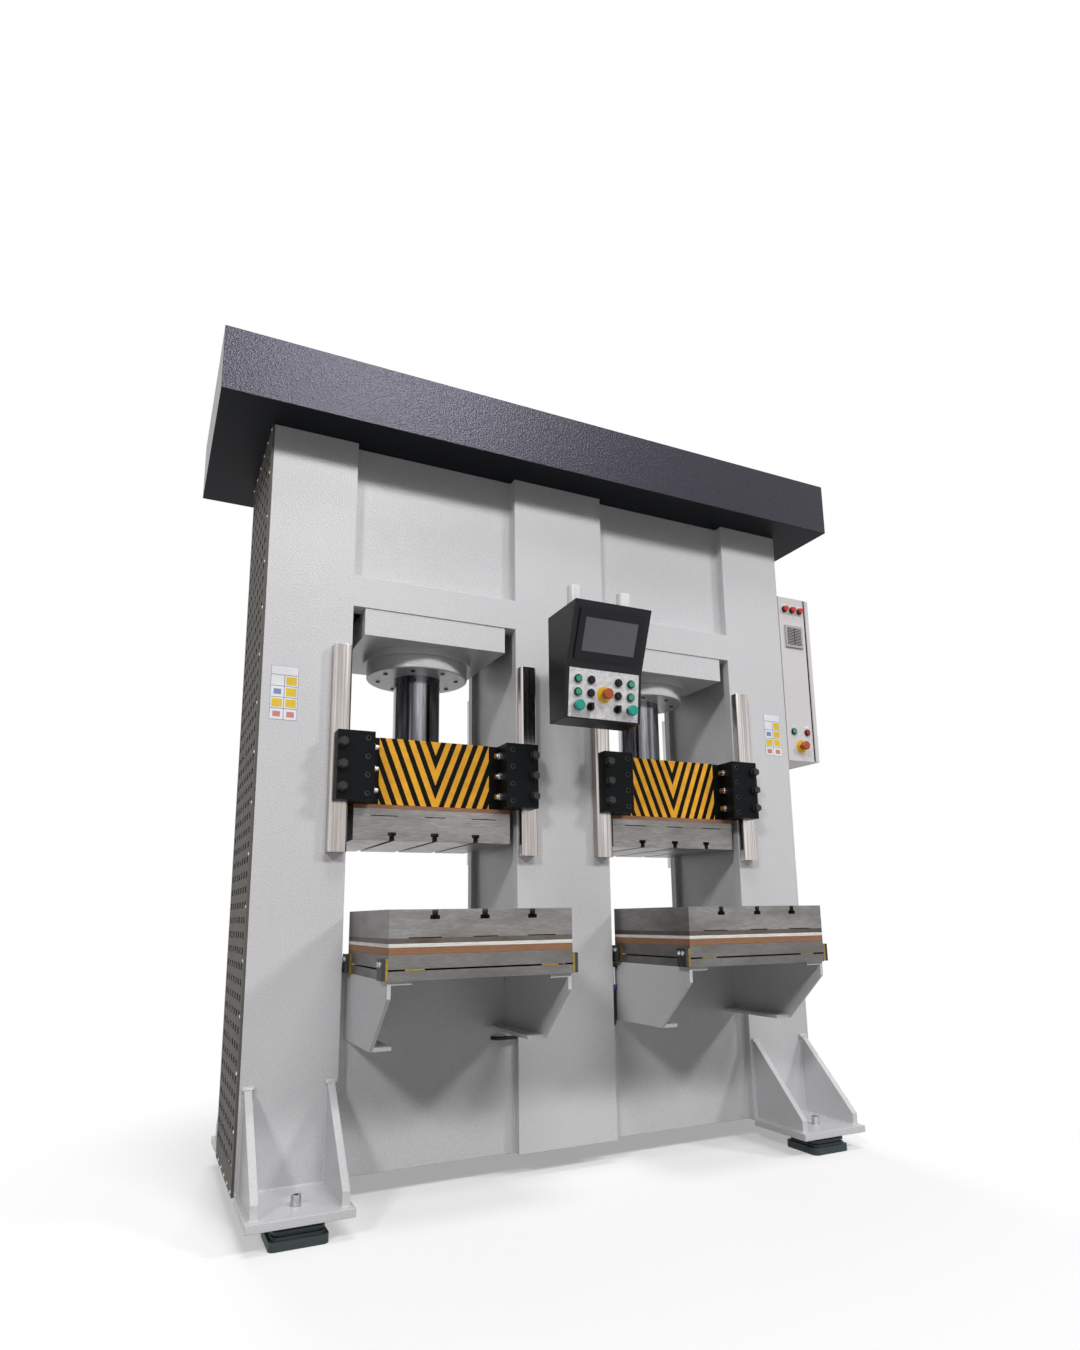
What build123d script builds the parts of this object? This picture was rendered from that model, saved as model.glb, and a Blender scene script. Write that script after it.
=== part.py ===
from build123d import *
import os

# Two-station hydraulic press, in millimetres, +Z up, standing on the floor at z = 0.
# While it is modelled, x = 0 is the middle of the frame and y = 0 is the plane of the two
# cylinder axes, with the operator at -Y. Each node is moved to the part's origin as it is written.

# Frame plates and webs
frame_depth = 530
side_column_width = 308
middle_column_width = 405
window_width = 649
bridge_height = 121
barrel_headroom = 166
plate_thickness = 40
web_thickness = 25
web_inset = 20
beam_thickness = 40

# Feet and machine mounts
mount_height = 65
mount_width = 170
mount_corner = 18
mount_pad_height = 26
mount_neck_width = 150
mount_groove_depth = 6
mount_groove_height = 7
mount_setout = 185
base_thickness = 25
base_lap = 6
base_reach = 295
gusset_thickness = 24
gusset_inset = 13
gusset_reach = 270
gusset_height = 305
gusset_toe = 43
gusset_crest = 12
levelling_screw_diameter = 30
levelling_screw_rise = 30
levelling_socket_width = 14
levelling_socket_depth = 12

# Side panels
panel_depth = 8
panel_sheet = 2.5
slot_width = 36
slot_height = 22
slot_pitch_z = 50
slot_columns = 7
slot_side_margin = 55
slot_end_margin = 60

# Canopy tray
canopy_side_overhang = 199.5
canopy_height = 241
canopy_front_overhang = 152
canopy_rear_overhang = 172
canopy_sheet = 5
canopy_lip = 30

# Cylinders
cylinder_block_side_gap = 44.5
cylinder_block_height = 103
cylinder_block_setback = 4
barrel_diameter = 300
bore_diameter = 220
barrel_flange_diameter = 436
barrel_flange_height = 27
barrel_head = 60
gland_diameter = 405
gland_height = 54
gland_chamfer = 4
rod_diameter = 185
rod_foot_diameter = 280
rod_foot_height = 30
piston_height = 80
stroke_up = 290
stroke_down = 170
slide_head_gap = 11
piston_end_gap = 10

# Guide rails and guide blocks
rail_width = 66
rail_thickness = 40
rail_foot_margin = 6
rail_head_margin = 32
rail_gap = 5.5
rail_chamfer = 7
guide_block_lap = 80
guide_block_width = 131
guide_block_height = 244
guide_block_front = 82
guide_block_chamfer = 3
adjuster_width = 30
adjuster_height = 14
locknut_width = 34
locknut_height = 10
adjuster_count = 3
adjuster_spacing = 78
adjuster_inset = 19
side_screw_diameter = 16
side_screw_length = 26
side_nut_width = 24
side_nut_height = 12
side_screw_setback = 25
block_bore_diameter = 26
block_bore_depth = 17
block_bore_count = 4
block_bore_spacing = 65
block_bore_inset = 25

# Slides, platens and tables
table_height = 942
daylight = 247
platen_side_gap = 24.5
platen_setback = 10
upper_platen_thickness = 90
upper_heater_thickness = 24
upper_board_thickness = 15
slide_setback = 15
slide_height = 244
slide_pad_gap = 37.5
slide_pad_thickness = 5
lower_platen_thickness = 84
lower_heater_thickness = 15
white_board_thickness = 11
brown_board_thickness = 21
shuttle_thickness = 41
wear_gap = 5
wear_strip_width = 60
wear_strip_inset = 80
bed_thickness = 28
table_reach = 490
keeper_length = 55
keeper_height = 62
keeper_thickness = 11
keeper_liner = 8
keeper_drop = 2
tee_neck_width = 18
tee_head_width = 30
tee_head_height = 12
tee_depth = 30
tee_spacing = 160
tee_count = 3

# Brackets under the tables
bracket_thickness = 12
bracket_reach = 480
bracket_nose = 50
bracket_toe_reach = 290
bracket_drop = 219
bracket_top_flange = 75
bracket_bottom_flange = 70

# Operator's pendant
pendant_width = 320
pendant_standoff = 210
pendant_drop = 17
pendant_height = 414
pendant_knee_height = 189
pendant_bottom_depth = 120
pendant_knee_depth = 142
pendant_top_depth = 230
pendant_wall = 2.5
pendant_arm_width = 80
pendant_arm_wall = 5
pendant_arm_drop = 180
pendant_flange_width = 100
pendant_flange_thickness = 12
pendant_tube_diameter = 54
pendant_tube_wall = 2
pendant_tube_height = 92
pendant_tube_spacing = 212
pendant_collar_diameter = 64
pendant_collar_height = 18
screen_bezel_width = 272
screen_bezel_height = 184
screen_bezel_thickness = 7
screen_bezel_corner = 8
screen_width = 222
screen_height = 125
screen_recess = 2
screen_body_width = 256
screen_body_height = 168
screen_body_depth = 38
button_plate_width = 292
button_plate_height = 180
button_plate_thickness = 3
button_opening_width = 270
button_opening_height = 160

# Control heads, all on the standard 22 mm cut-out
control_hole = 22.3
control_bezel_diameter = 30
control_bezel_height = 7
control_cap_rise = 10
control_cap_depth = 10
mushroom_diameter = 40
mushroom_thickness = 14
mushroom_lift = 17
mushroom_chamfer = 3
stop_collar_diameter = 60
stop_collar_thickness = 2
stop_head_thickness = 20
stop_lift = 19
selector_rise = 12
selector_bar_length = 26
selector_bar_width = 9
selector_bar_height = 12
outer_control_offset = 111
inner_control_offset = 57
upper_control_row = 51
middle_control_row = 2
lower_control_row = -48

# Electrical cabinet on the right column
cabinet_rear_gap = 30
cabinet_height = 800
cabinet_drop = 294
cabinet_spacer = 5
cabinet_body_depth = 164
cabinet_wall = 2
cabinet_door_gap = 2
cabinet_door_depth = 19
hinge_offset = 8
hinge_radius = 5
hinge_length = 40
hinge_inset = 120
hinge_leaf = 6
hinge_pin_diameter = 5
spacer_diameter = 40
spacer_inset = 60
gear_plate_standoff = 14
gear_plate_margin = 40
gear_row_count = 3
gear_row_height = 95
gear_row_depth = 75
gear_module_width = 54
gear_module_gap = 8
gear_module_count = 6
lamp_diameter = 24
lamp_height = 20
lamp_spacing = 45.5
lamp_drop = 61
grille_width = 104
grille_height = 108
grille_thickness = 8
grille_slot_height = 6
grille_slot_count = 7
grille_drop = 195
grille_rim = 9
cabinet_button_spacing = 80
cabinet_button_height = 138
cabinet_stop_height = 69
cabinet_control_centre = 80

# Power pack inside the canopy
tank_width = 1500
tank_depth = 280
tank_height = 190
tank_gap = 20
tank_cap_diameter = 90
tank_cap_height = 24
tank_lid = 6
tank_wall = 4
motor_diameter = 210
motor_length = 360
motor_foot_width = 180
motor_setback = 172
motor_axis_height = 122
motor_rib_count = 8
motor_rib_height = 6
pump_flange_diameter = 160
pump_flange_length = 70
pump_diameter = 110
pump_length = 130
manifold_width = 240
manifold_depth = 180
manifold_height = 150
valve_width = 46
valve_length = 150
valve_height = 60
valve_count = 4
pipe_diameter = 28
pipe_height_share = 0.6
feed_pipe_offset = 172
tap_edge_gap = 12.5
tap_setout = 25
tap_drop = 16
tap_height = 78
tap_diameter = 16
tap_handle_length = 44
tap_handle_diameter = 9
hose_diameter = 14
hose_drop = 120
loop_drop = 253
loop_reach = 62

# Clearances
running_clearance = 0.08
bed_clearance = 0.5
control_clearance = 0.08
cut_overrun = 5

# Levels and planes worked out from the sizes above
frame_bottom = mount_height + base_thickness - base_lap
frame_half = side_column_width + window_width + middle_column_width / 2
station_centre = (middle_column_width + window_width) / 2
station_centres = (-station_centre, station_centre)
front_face = -frame_depth / 2
back_face = frame_depth / 2
beam_front = front_face + plate_thickness
base_top = mount_height + base_thickness

platen_half = window_width / 2 - platen_side_gap
platen_depth = frame_depth - 2 * platen_setback
platen_top = table_height
heater_top = platen_top - lower_platen_thickness
white_top = heater_top - lower_heater_thickness
brown_top = white_top - white_board_thickness
shuttle_top = brown_top - brown_board_thickness
shuttle_bottom = shuttle_top - shuttle_thickness
bed_top = shuttle_bottom - wear_gap
bed_bottom = bed_top - bed_thickness
table_front = front_face - table_reach
table_back = table_front + platen_depth
keeper_bottom = bed_bottom + keeper_drop
keeper_top = keeper_bottom + keeper_height

upper_platen_bottom = table_height + daylight
upper_heater_bottom = upper_platen_bottom + upper_platen_thickness
upper_board_bottom = upper_heater_bottom + upper_heater_thickness
slide_bottom = upper_board_bottom + upper_board_thickness
slide_top = slide_bottom + slide_height
slide_front = front_face + slide_setback

gland_bottom = slide_top + stroke_up + slide_head_gap
gland_top = gland_bottom + gland_height
block_bottom = gland_top + barrel_flange_height
window_top = block_bottom + cylinder_block_height
window_height = window_top - frame_bottom
bridge_top = window_top + bridge_height
piston_bottom = gland_top + stroke_down + piston_end_gap
piston_top = piston_bottom + piston_height
bore_top = piston_top + stroke_up + piston_end_gap
barrel_top = bore_top + barrel_head
frame_top = barrel_top + barrel_headroom
frame_height = frame_top - frame_bottom

rail_inner = window_width / 2 + rail_gap
rail_front = front_face - rail_thickness
guide_block_inner = rail_inner - guide_block_lap
guide_block_outer = guide_block_inner + guide_block_width
guide_block_face = front_face - guide_block_front
guide_block_bottom = slide_bottom
guide_block_top = guide_block_bottom + guide_block_height
rail_bottom = guide_block_bottom - stroke_down - rail_foot_margin
rail_top = guide_block_top + stroke_up + rail_head_margin

canopy_half = frame_half + canopy_side_overhang
canopy_front = front_face - canopy_front_overhang
canopy_back = back_face + canopy_rear_overhang
canopy_top = frame_top + canopy_height
canopy_floor = frame_top + canopy_sheet

part_front = table_front
part_back = back_face + base_reach
part_shift = -(part_front + part_back) / 2


def block(x_low, x_high, y_low, y_high, z_low, z_high):
    """A plain block between two opposite corners."""
    middle = ((x_low + x_high) / 2, (y_low + y_high) / 2, (z_low + z_high) / 2)
    return Pos(*middle) * Box(x_high - x_low, y_high - y_low, z_high - z_low)


def rod_z(diameter, x, y, z_low, z_high):
    """An upright cylinder."""
    return Pos(x, y, (z_low + z_high) / 2) * Cylinder(diameter / 2, z_high - z_low)


def rod_x(diameter, x_low, x_high, y, z):
    """A cylinder along X."""
    return Pos((x_low + x_high) / 2, y, z) * Rot(0, 90, 0) * Cylinder(diameter / 2, x_high - x_low)


def rod_y(diameter, x, y_low, y_high, z):
    """A cylinder along Y."""
    return Pos(x, (y_low + y_high) / 2, z) * Rot(90, 0, 0) * Cylinder(diameter / 2, y_high - y_low)


def hexagon(width):
    """A hexagon, measured across its flats."""
    return RegularPolygon(width / 2, 6, major_radius=False)


def left_right(shape):
    """A shape and its mirror image across the middle of its station or of the frame."""
    return [shape, mirror(shape, about=Plane.YZ)]


def front_rear(shape):
    """A shape and its mirror image across the plane of the cylinder axes."""
    return [shape, mirror(shape, about=Plane.XZ)]


def four_corners(shape):
    """A shape and its mirror images at the other three corners."""
    return [copy for side in left_right(shape) for copy in front_rear(side)]


def at_stations(shapes):
    """Copies of shapes drawn about x = 0, one set at each station."""
    return [Pos(centre, 0, 0) * shape for centre in station_centres for shape in shapes]


def save(node, shapes):
    """Writes the solids of one node, moved to the part's origin."""
    move = Pos(0, part_shift, 0)
    solids = [solid for shape in shapes for solid in (move * shape).solids()]
    export_step(Compound(children=solids), os.path.join("parts", node + ".step"))


def frame_plate():
    """The front frame plate: three columns and two bridges, cut from one plate."""
    outline = Pos(0, (frame_bottom + frame_top) / 2) * Rectangle(2 * frame_half, frame_height)
    window = Rectangle(window_width, window_height + cut_overrun, align=(Align.CENTER, Align.MAX))
    notch_height = frame_top - bridge_top + cut_overrun
    notch = Rectangle(window_width, notch_height, align=(Align.CENTER, Align.MIN))
    for centre in station_centres:
        outline -= Pos(centre, window_top) * window
        outline -= Pos(centre, bridge_top) * notch
    plane = Plane(origin=(0, front_face, 0), x_dir=(1, 0, 0), z_dir=(0, -1, 0))
    return extrude(plane * outline, -plate_thickness)


def column_webs():
    """The four upright webs, set back from the window edges inside the columns."""
    depth = frame_depth / 2 - plate_thickness
    webs = []
    for edge, side in ((middle_column_width / 2, -1), (middle_column_width / 2 + window_width, 1)):
        near = edge + side * web_inset
        far = near + side * web_thickness
        web = block(min(near, far), max(near, far), -depth, depth, frame_bottom, frame_top)
        webs += left_right(web)
    return webs


def beam_panels():
    """The beams between the webs, behind the frame plates, above and below the windows."""
    half = window_width / 2 + web_inset
    back = beam_front + beam_thickness
    lower = block(-half, half, beam_front, back, frame_bottom, bed_bottom)
    upper = block(-half, half, beam_front, back, window_top, frame_top)
    return at_stations(front_rear(lower) + front_rear(upper))


def cylinder_block():
    """The thick plate under the upper beams that carries the cylinder."""
    half = window_width / 2 - cylinder_block_side_gap
    front = front_face + cylinder_block_setback
    plate = block(-half, half, front, -front, block_bottom, window_top)
    hole = barrel_diameter + 2 * running_clearance
    return plate - rod_z(hole, 0, 0, block_bottom - cut_overrun, window_top + cut_overrun)


def cylinder_barrel():
    """The barrel with its lower flange and its closed head, turned from one forging."""
    barrel = rod_z(barrel_diameter, 0, 0, gland_top, barrel_top)
    barrel += rod_z(barrel_flange_diameter, 0, 0, gland_top, block_bottom)
    return barrel - rod_z(bore_diameter, 0, 0, gland_top - cut_overrun, bore_top)


def rod_gland():
    """The gland ring that guides the rod at the barrel's mouth."""
    ring = rod_z(gland_diameter, 0, 0, gland_bottom, gland_top)
    rim = ring.faces().sort_by(Axis.Z)[0].edges()
    ring = chamfer(rim, gland_chamfer)
    hole = rod_diameter + 2 * running_clearance
    return ring - rod_z(hole, 0, 0, gland_bottom - cut_overrun, gland_top + cut_overrun)


def guide_rail():
    """One chamfered guide rail, on the front plate beside its window."""
    plan = Rectangle(rail_width, rail_thickness, align=(Align.MIN, Align.MIN))
    corners = plan.vertices().group_by(Axis.Y)[0]
    plan = Pos(rail_inner, rail_front) * chamfer(corners, rail_chamfer)
    return extrude(Pos(0, 0, rail_bottom) * plan, rail_top - rail_bottom)


def foot():
    """The left front foot: a base plate butted to the column, with two gussets."""
    left, right = -frame_half, -frame_half + side_column_width
    base = block(left, right, front_face - base_reach, front_face, mount_height, base_top)
    hole = levelling_screw_diameter + 2 * running_clearance
    centre = ((left + right) / 2, front_face - mount_setout)
    base -= rod_z(hole, *centre, mount_height - cut_overrun, base_top + cut_overrun)
    toe = front_face - gusset_reach
    outline = Polyline(
        (front_face, base_top),
        (toe, base_top),
        (toe, base_top + gusset_toe),
        (front_face - gusset_crest, base_top + gusset_height),
        (front_face, base_top + gusset_height),
        close=True,
    )
    gusset = extrude(Plane.YZ * make_face(outline), gusset_thickness)
    base += Pos(left + gusset_inset, 0, 0) * gusset
    base += Pos(right - gusset_inset - gusset_thickness, 0, 0) * gusset
    return base


def machine_mount():
    """The left front levelling mount: a padded base and a grooved body, then its screw."""
    pad_plan = RectangleRounded(mount_width, mount_width, mount_corner)
    mount = extrude(pad_plan, mount_pad_height)
    body_height = mount_height - mount_pad_height
    neck_plan = RectangleRounded(mount_neck_width, mount_neck_width, mount_corner)
    mount += Pos(0, 0, mount_pad_height) * extrude(neck_plan, body_height)
    core_width = mount_neck_width - 2 * mount_groove_depth
    groove = extrude(neck_plan, mount_groove_height)
    groove -= extrude(RectangleRounded(core_width, core_width, mount_corner), mount_groove_height)
    groove_gap = (body_height - 2 * mount_groove_height) / 3
    for level in (groove_gap, 2 * groove_gap + mount_groove_height):
        mount -= Pos(0, 0, mount_pad_height + level) * groove
    screw_top = base_top + levelling_screw_rise
    screw = rod_z(levelling_screw_diameter, 0, 0, mount_height, screw_top)
    screw -= Pos(0, 0, screw_top - levelling_socket_depth) * extrude(
        hexagon(levelling_socket_width), levelling_socket_depth + cut_overrun
    )
    place = Pos(-frame_half + side_column_width / 2, front_face - mount_setout, 0)
    return [place * mount, place * screw]


def side_panel():
    """The right side panel: a shallow folded tray over the open side of the column."""
    outer = frame_half + panel_depth
    tray = block(frame_half, outer, front_face, back_face, frame_bottom, frame_top)
    return tray - block(
        frame_half - cut_overrun,
        outer - panel_sheet,
        front_face + panel_sheet,
        back_face - panel_sheet,
        frame_bottom + panel_sheet,
        frame_top - panel_sheet,
    )


def vent_panel():
    """The left side panel, with rows of ventilation slots."""
    panel = mirror(side_panel(), about=Plane.YZ)
    rows = int((frame_height - 2 * slot_end_margin) / slot_pitch_z) + 1
    slot_pitch_y = (frame_depth - 2 * slot_side_margin) / (slot_columns - 1)
    slot = Box(4 * panel_depth, slot_width, slot_height)
    grid = GridLocations(slot_pitch_y, slot_pitch_z, slot_columns, rows)
    middle = (frame_bottom + frame_top) / 2
    spots = [Pos(-frame_half, spot.position.X, middle + spot.position.Y) for spot in grid]
    return panel - [spot * slot for spot in spots]


def canopy():
    """The canopy: an open tray on top of the frame, with a folded lip round its rim."""
    tray = block(-canopy_half, canopy_half, canopy_front, canopy_back, frame_top, canopy_top)
    tray -= block(
        -canopy_half + canopy_sheet,
        canopy_half - canopy_sheet,
        canopy_front + canopy_sheet,
        canopy_back - canopy_sheet,
        canopy_floor,
        canopy_top - canopy_sheet,
    )
    tray -= block(
        -canopy_half + canopy_lip,
        canopy_half - canopy_lip,
        canopy_front + canopy_lip,
        canopy_back - canopy_lip,
        canopy_floor,
        canopy_top + cut_overrun,
    )
    hole = pipe_diameter + 2 * running_clearance
    for centre in station_centres:
        for offset in (0, feed_pipe_offset):
            tray -= rod_z(hole, centre + offset, 0, frame_top - cut_overrun, canopy_floor + cut_overrun)
    return tray


def ram():
    """The rod with its foot and its piston, turned from one bar."""
    foot_top = slide_top
    body = rod_z(rod_diameter, 0, 0, foot_top - rod_foot_height, piston_top)
    body += rod_z(rod_foot_diameter, 0, 0, foot_top - rod_foot_height, foot_top)
    body += rod_z(bore_diameter - 2 * running_clearance, 0, 0, piston_bottom, piston_top)
    return body


def slide():
    """The slide block, with the raised pad on its front and a pocket for the rod's foot."""
    body = block(-platen_half, platen_half, slide_front, -slide_front, slide_bottom, slide_top)
    pad_half = guide_block_inner - slide_pad_gap
    pad_front = slide_front - slide_pad_thickness
    body += block(-pad_half, pad_half, pad_front, slide_front, slide_bottom, slide_top)
    pocket = rod_foot_diameter + 2 * running_clearance
    return body - rod_z(pocket, 0, 0, slide_top - rod_foot_height, slide_top + cut_overrun)


guide_front = Plane(origin=(0, guide_block_face, 0), x_dir=(1, 0, 0), z_dir=(0, -1, 0))
guide_block_middle = (guide_block_bottom + guide_block_top) / 2


def guide_block():
    """A right front guide block: a bored leg on the slide's face and a keeper over the rail."""
    leg_outer = window_width / 2 - running_clearance
    rail_side = rail_inner - running_clearance
    plate_side = front_face - running_clearance
    rail_face = rail_front - running_clearance
    plan = make_face(
        Polyline(
            (guide_block_inner, slide_front),
            (leg_outer, slide_front),
            (leg_outer, plate_side),
            (rail_side, plate_side),
            (rail_side, rail_face),
            (guide_block_outer, rail_face),
            (guide_block_outer, guide_block_face),
            (guide_block_inner, guide_block_face),
            close=True,
        )
    )
    front_corners = plan.vertices().group_by(Axis.Y)[0]
    plan = chamfer(front_corners, guide_block_chamfer)
    body = extrude(Pos(0, 0, guide_block_bottom) * plan, guide_block_height)
    bore = extrude(Circle(block_bore_diameter / 2), -block_bore_depth)
    for spot in GridLocations(0, block_bore_spacing, 1, block_bore_count):
        level = guide_block_middle + spot.position.Y
        body -= guide_front * Pos(guide_block_inner + block_bore_inset, level) * bore
    return body


def guide_screws():
    """The adjusters of one right front guide block: hexagon heads and side screws."""
    adjuster = extrude(hexagon(locknut_width), locknut_height)
    adjuster += extrude(hexagon(adjuster_width), locknut_height + adjuster_height)
    inward = Plane(origin=(guide_block_inner, 0, 0), x_dir=(0, 1, 0), z_dir=(-1, 0, 0))
    side_screw = extrude(hexagon(side_nut_width), side_nut_height)
    side_screw += extrude(Circle(side_screw_diameter / 2), side_screw_length)
    screws = []
    for spot in GridLocations(0, adjuster_spacing, 1, adjuster_count):
        level = guide_block_middle + spot.position.Y
        screws.append(guide_front * Pos(guide_block_outer - adjuster_inset, level) * adjuster)
        screws.append(inward * Pos(front_face - side_screw_setback, -level) * side_screw)
    return screws


def tee_slots(face_level, side):
    """The T-slots of a platen, cut from its face towards side, +1 up and -1 down."""
    neck = Rectangle(tee_neck_width, 2 * (tee_depth - tee_head_height))
    head_level = tee_depth - tee_head_height / 2
    profile = neck + Pos(0, side * head_level) * Rectangle(tee_head_width, tee_head_height)
    plane = Plane(origin=(0, 0, face_level), x_dir=(1, 0, 0), z_dir=(0, -1, 0))
    slot = extrude(plane * profile, platen_depth / 2 + cut_overrun, both=True)
    return [Pos(spot.position.X, 0, 0) * slot for spot in GridLocations(tee_spacing, 0, tee_count, 1)]


def upper_platen():
    """The upper T-slot platen and the heater plate above it."""
    half_depth = platen_depth / 2
    plate = block(
        -platen_half, platen_half, -half_depth, half_depth, upper_platen_bottom, upper_heater_bottom
    )
    plate -= tee_slots(upper_platen_bottom, 1)
    heater = block(
        -platen_half, platen_half, -half_depth, half_depth, upper_heater_bottom, upper_board_bottom
    )
    return [plate, heater]


def upper_board():
    """The insulating board between the upper heater plate and the slide."""
    half_depth = platen_depth / 2
    return block(-platen_half, platen_half, -half_depth, half_depth, upper_board_bottom, slide_bottom)


def table_layer(z_low, z_high):
    """One full-size layer of the shuttled table, at its place in front of the frame."""
    return block(-platen_half, platen_half, table_front, table_back, z_low, z_high)


def lower_platen():
    """The lower T-slot platen and the heater plate under it."""
    plate = table_layer(heater_top, platen_top)
    middle = Pos(0, (table_front + table_back) / 2, 0)
    plate -= [middle * slot for slot in tee_slots(platen_top, -1)]
    return [plate, table_layer(white_top, heater_top)]


def keeper_spots():
    """The lengths along Y where keepers stand, at the front and back of the table."""
    return ((table_front, table_front + keeper_length), (table_back - keeper_length, table_back))


def shuttle_plate():
    """The shuttle plate that carries the table, and the keeper plates on its sides."""
    pieces = [table_layer(shuttle_bottom, shuttle_top)]
    inner = platen_half + keeper_liner
    for low, high in keeper_spots():
        keeper = block(inner, inner + keeper_thickness, low, high, keeper_bottom, keeper_top)
        pieces += left_right(keeper)
    return pieces


def table_liners():
    """The brass liners behind the keepers and the wear strips under the shuttle plate."""
    inner, outer = platen_half, platen_half + keeper_liner
    pieces = []
    for low, high in keeper_spots():
        pieces += left_right(block(inner, outer, low, high, keeper_bottom, keeper_top))
    strip_outer = platen_half - wear_strip_inset + wear_strip_width / 2
    strip_inner = strip_outer - wear_strip_width
    strip_bottom = bed_top + running_clearance
    strip = block(strip_inner, strip_outer, table_front, table_back, strip_bottom, shuttle_bottom)
    return pieces + left_right(strip)


def bed_plate():
    """The fixed bed that the table slides on, from the table's front to the rear plate."""
    half = platen_half - bed_clearance
    return block(-half, half, table_front, back_face, bed_bottom, bed_top)


def table_bracket():
    """A right bracket under the overhanging bed: a side plate with two flanges."""
    toe_level = bed_bottom - bracket_drop
    nose = front_face - bracket_reach
    toe = front_face - bracket_toe_reach
    outline = Polyline(
        (beam_front, bed_bottom),
        (nose, bed_bottom),
        (nose, bed_bottom - bracket_nose),
        (toe, toe_level),
        (beam_front, toe_level),
        close=True,
    )
    outer = platen_half - bed_clearance
    inner = outer - bracket_thickness
    plate = Pos(inner, 0, 0) * extrude(Plane.YZ * make_face(outline), bracket_thickness)
    top_low = bed_bottom - bracket_thickness
    plate += block(outer - bracket_top_flange, outer, nose, beam_front, top_low, bed_bottom)
    bottom_high = toe_level + bracket_thickness
    plate += block(outer - bracket_bottom_flange, outer, toe, beam_front, toe_level, bottom_high)
    return plate


pendant_back = front_face - pendant_standoff
pendant_top = window_top - pendant_drop
pendant_bottom = pendant_top - pendant_height
pendant_knee = pendant_bottom + pendant_knee_height
pendant_corners = (
    (pendant_back, pendant_bottom),
    (pendant_back - pendant_bottom_depth, pendant_bottom),
    (pendant_back - pendant_knee_depth, pendant_knee),
    (pendant_back - pendant_top_depth, pendant_top),
    (pendant_back, pendant_top),
)


def panel_plane(low, high):
    """The plane of a pendant face, with its Y up the face and its Z out towards the operator."""
    middle = ((low[0] + high[0]) / 2, (low[1] + high[1]) / 2)
    return Plane(
        origin=(0, *middle), x_dir=(1, 0, 0), z_dir=(0, low[1] - high[1], high[0] - low[0])
    )


control_plane = panel_plane(pendant_corners[1], pendant_corners[2])
screen_plane = panel_plane(pendant_corners[2], pendant_corners[3])


def pendant_box():
    """The pendant's folded box, open behind its screen and its button plate."""
    profile = make_face(Polyline(*pendant_corners, close=True))
    cavity = offset(profile, -pendant_wall, kind=Kind.INTERSECTION)
    box = extrude(Plane.YZ * profile, pendant_width / 2, both=True)
    box -= extrude(Plane.YZ * cavity, pendant_width / 2 - pendant_wall, both=True)
    cut = 4 * pendant_wall
    opening_width = screen_body_width + 2 * running_clearance
    opening_height = screen_body_height + 2 * running_clearance
    box -= screen_plane * Box(opening_width, opening_height, cut)
    box -= control_plane * Box(button_opening_width, button_opening_height, cut)
    return box


def pendant_mount():
    """The square arm that carries the pendant, hollow for its cables, and the two tube stubs on top."""
    level = pendant_top - pendant_arm_drop
    half = pendant_arm_width / 2
    inner = half - pendant_arm_wall
    arm = block(-half, half, pendant_back, front_face, level - half, level + half)
    flange = pendant_flange_width / 2
    frame_side = front_face - pendant_flange_thickness
    box_side = pendant_back + pendant_flange_thickness
    arm += block(-flange, flange, frame_side, front_face, level - flange, level + flange)
    arm += block(-flange, flange, pendant_back, box_side, level - flange, level + flange)
    near, far = pendant_back - cut_overrun, front_face + cut_overrun
    arm -= block(-inner, inner, near, far, level - inner, level + inner)
    tube_y = pendant_back - pendant_top_depth / 2
    tube_x = pendant_tube_spacing / 2
    tube_top = pendant_top + pendant_tube_height
    tube = rod_z(pendant_tube_diameter, tube_x, tube_y, pendant_top, tube_top)
    collar_top = pendant_top + pendant_collar_height
    tube += rod_z(pendant_collar_diameter, tube_x, tube_y, pendant_top, collar_top)
    bore = pendant_tube_diameter - 2 * pendant_tube_wall
    tube -= rod_z(bore, tube_x, tube_y, collar_top, tube_top + cut_overrun)
    return [arm, *left_right(tube)]


def operator_screen():
    """The touch panel: a rounded bezel with a sunk screen, and its body inside the box."""
    bezel = extrude(
        RectangleRounded(screen_bezel_width, screen_bezel_height, screen_bezel_corner),
        screen_bezel_thickness,
    )
    body = extrude(Rectangle(screen_body_width, screen_body_height), -screen_body_depth)
    sunk = extrude(Rectangle(screen_width, screen_height), screen_recess + cut_overrun)
    screen = bezel + body - Pos(0, 0, screen_bezel_thickness - screen_recess) * sunk
    return screen_plane * screen


# Each control has a place on its panel: across, then up.
push_buttons = {
    "left_upper_green_button": (-outer_control_offset, upper_control_row),
    "left_lower_green_button": (-outer_control_offset, middle_control_row),
    "right_upper_green_button": (outer_control_offset, upper_control_row),
    "right_lower_green_button": (outer_control_offset, middle_control_row),
    "left_upper_black_button": (-inner_control_offset, upper_control_row),
    "left_lower_black_button": (-inner_control_offset, middle_control_row),
    "right_upper_black_button": (inner_control_offset, upper_control_row),
    "right_lower_black_button": (inner_control_offset, middle_control_row),
}
selectors = {
    "left_selector": (-inner_control_offset, lower_control_row),
    "right_selector": (inner_control_offset, lower_control_row),
}
hand_buttons = {
    "left_hand_button": (-outer_control_offset, lower_control_row),
    "right_hand_button": (outer_control_offset, lower_control_row),
}
stop_place = (0, middle_control_row)

cap_diameter = control_hole - 2 * control_clearance


def control_bezel():
    """The ring that clamps a control head to its panel."""
    return extrude(Circle(control_bezel_diameter / 2), control_bezel_height) - extrude(
        Circle(control_hole / 2), control_bezel_height
    )


def stop_collar():
    """The flat disc round an emergency stop."""
    return extrude(Circle(stop_collar_diameter / 2), stop_collar_thickness) - extrude(
        Circle(control_hole / 2), stop_collar_thickness
    )


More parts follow.
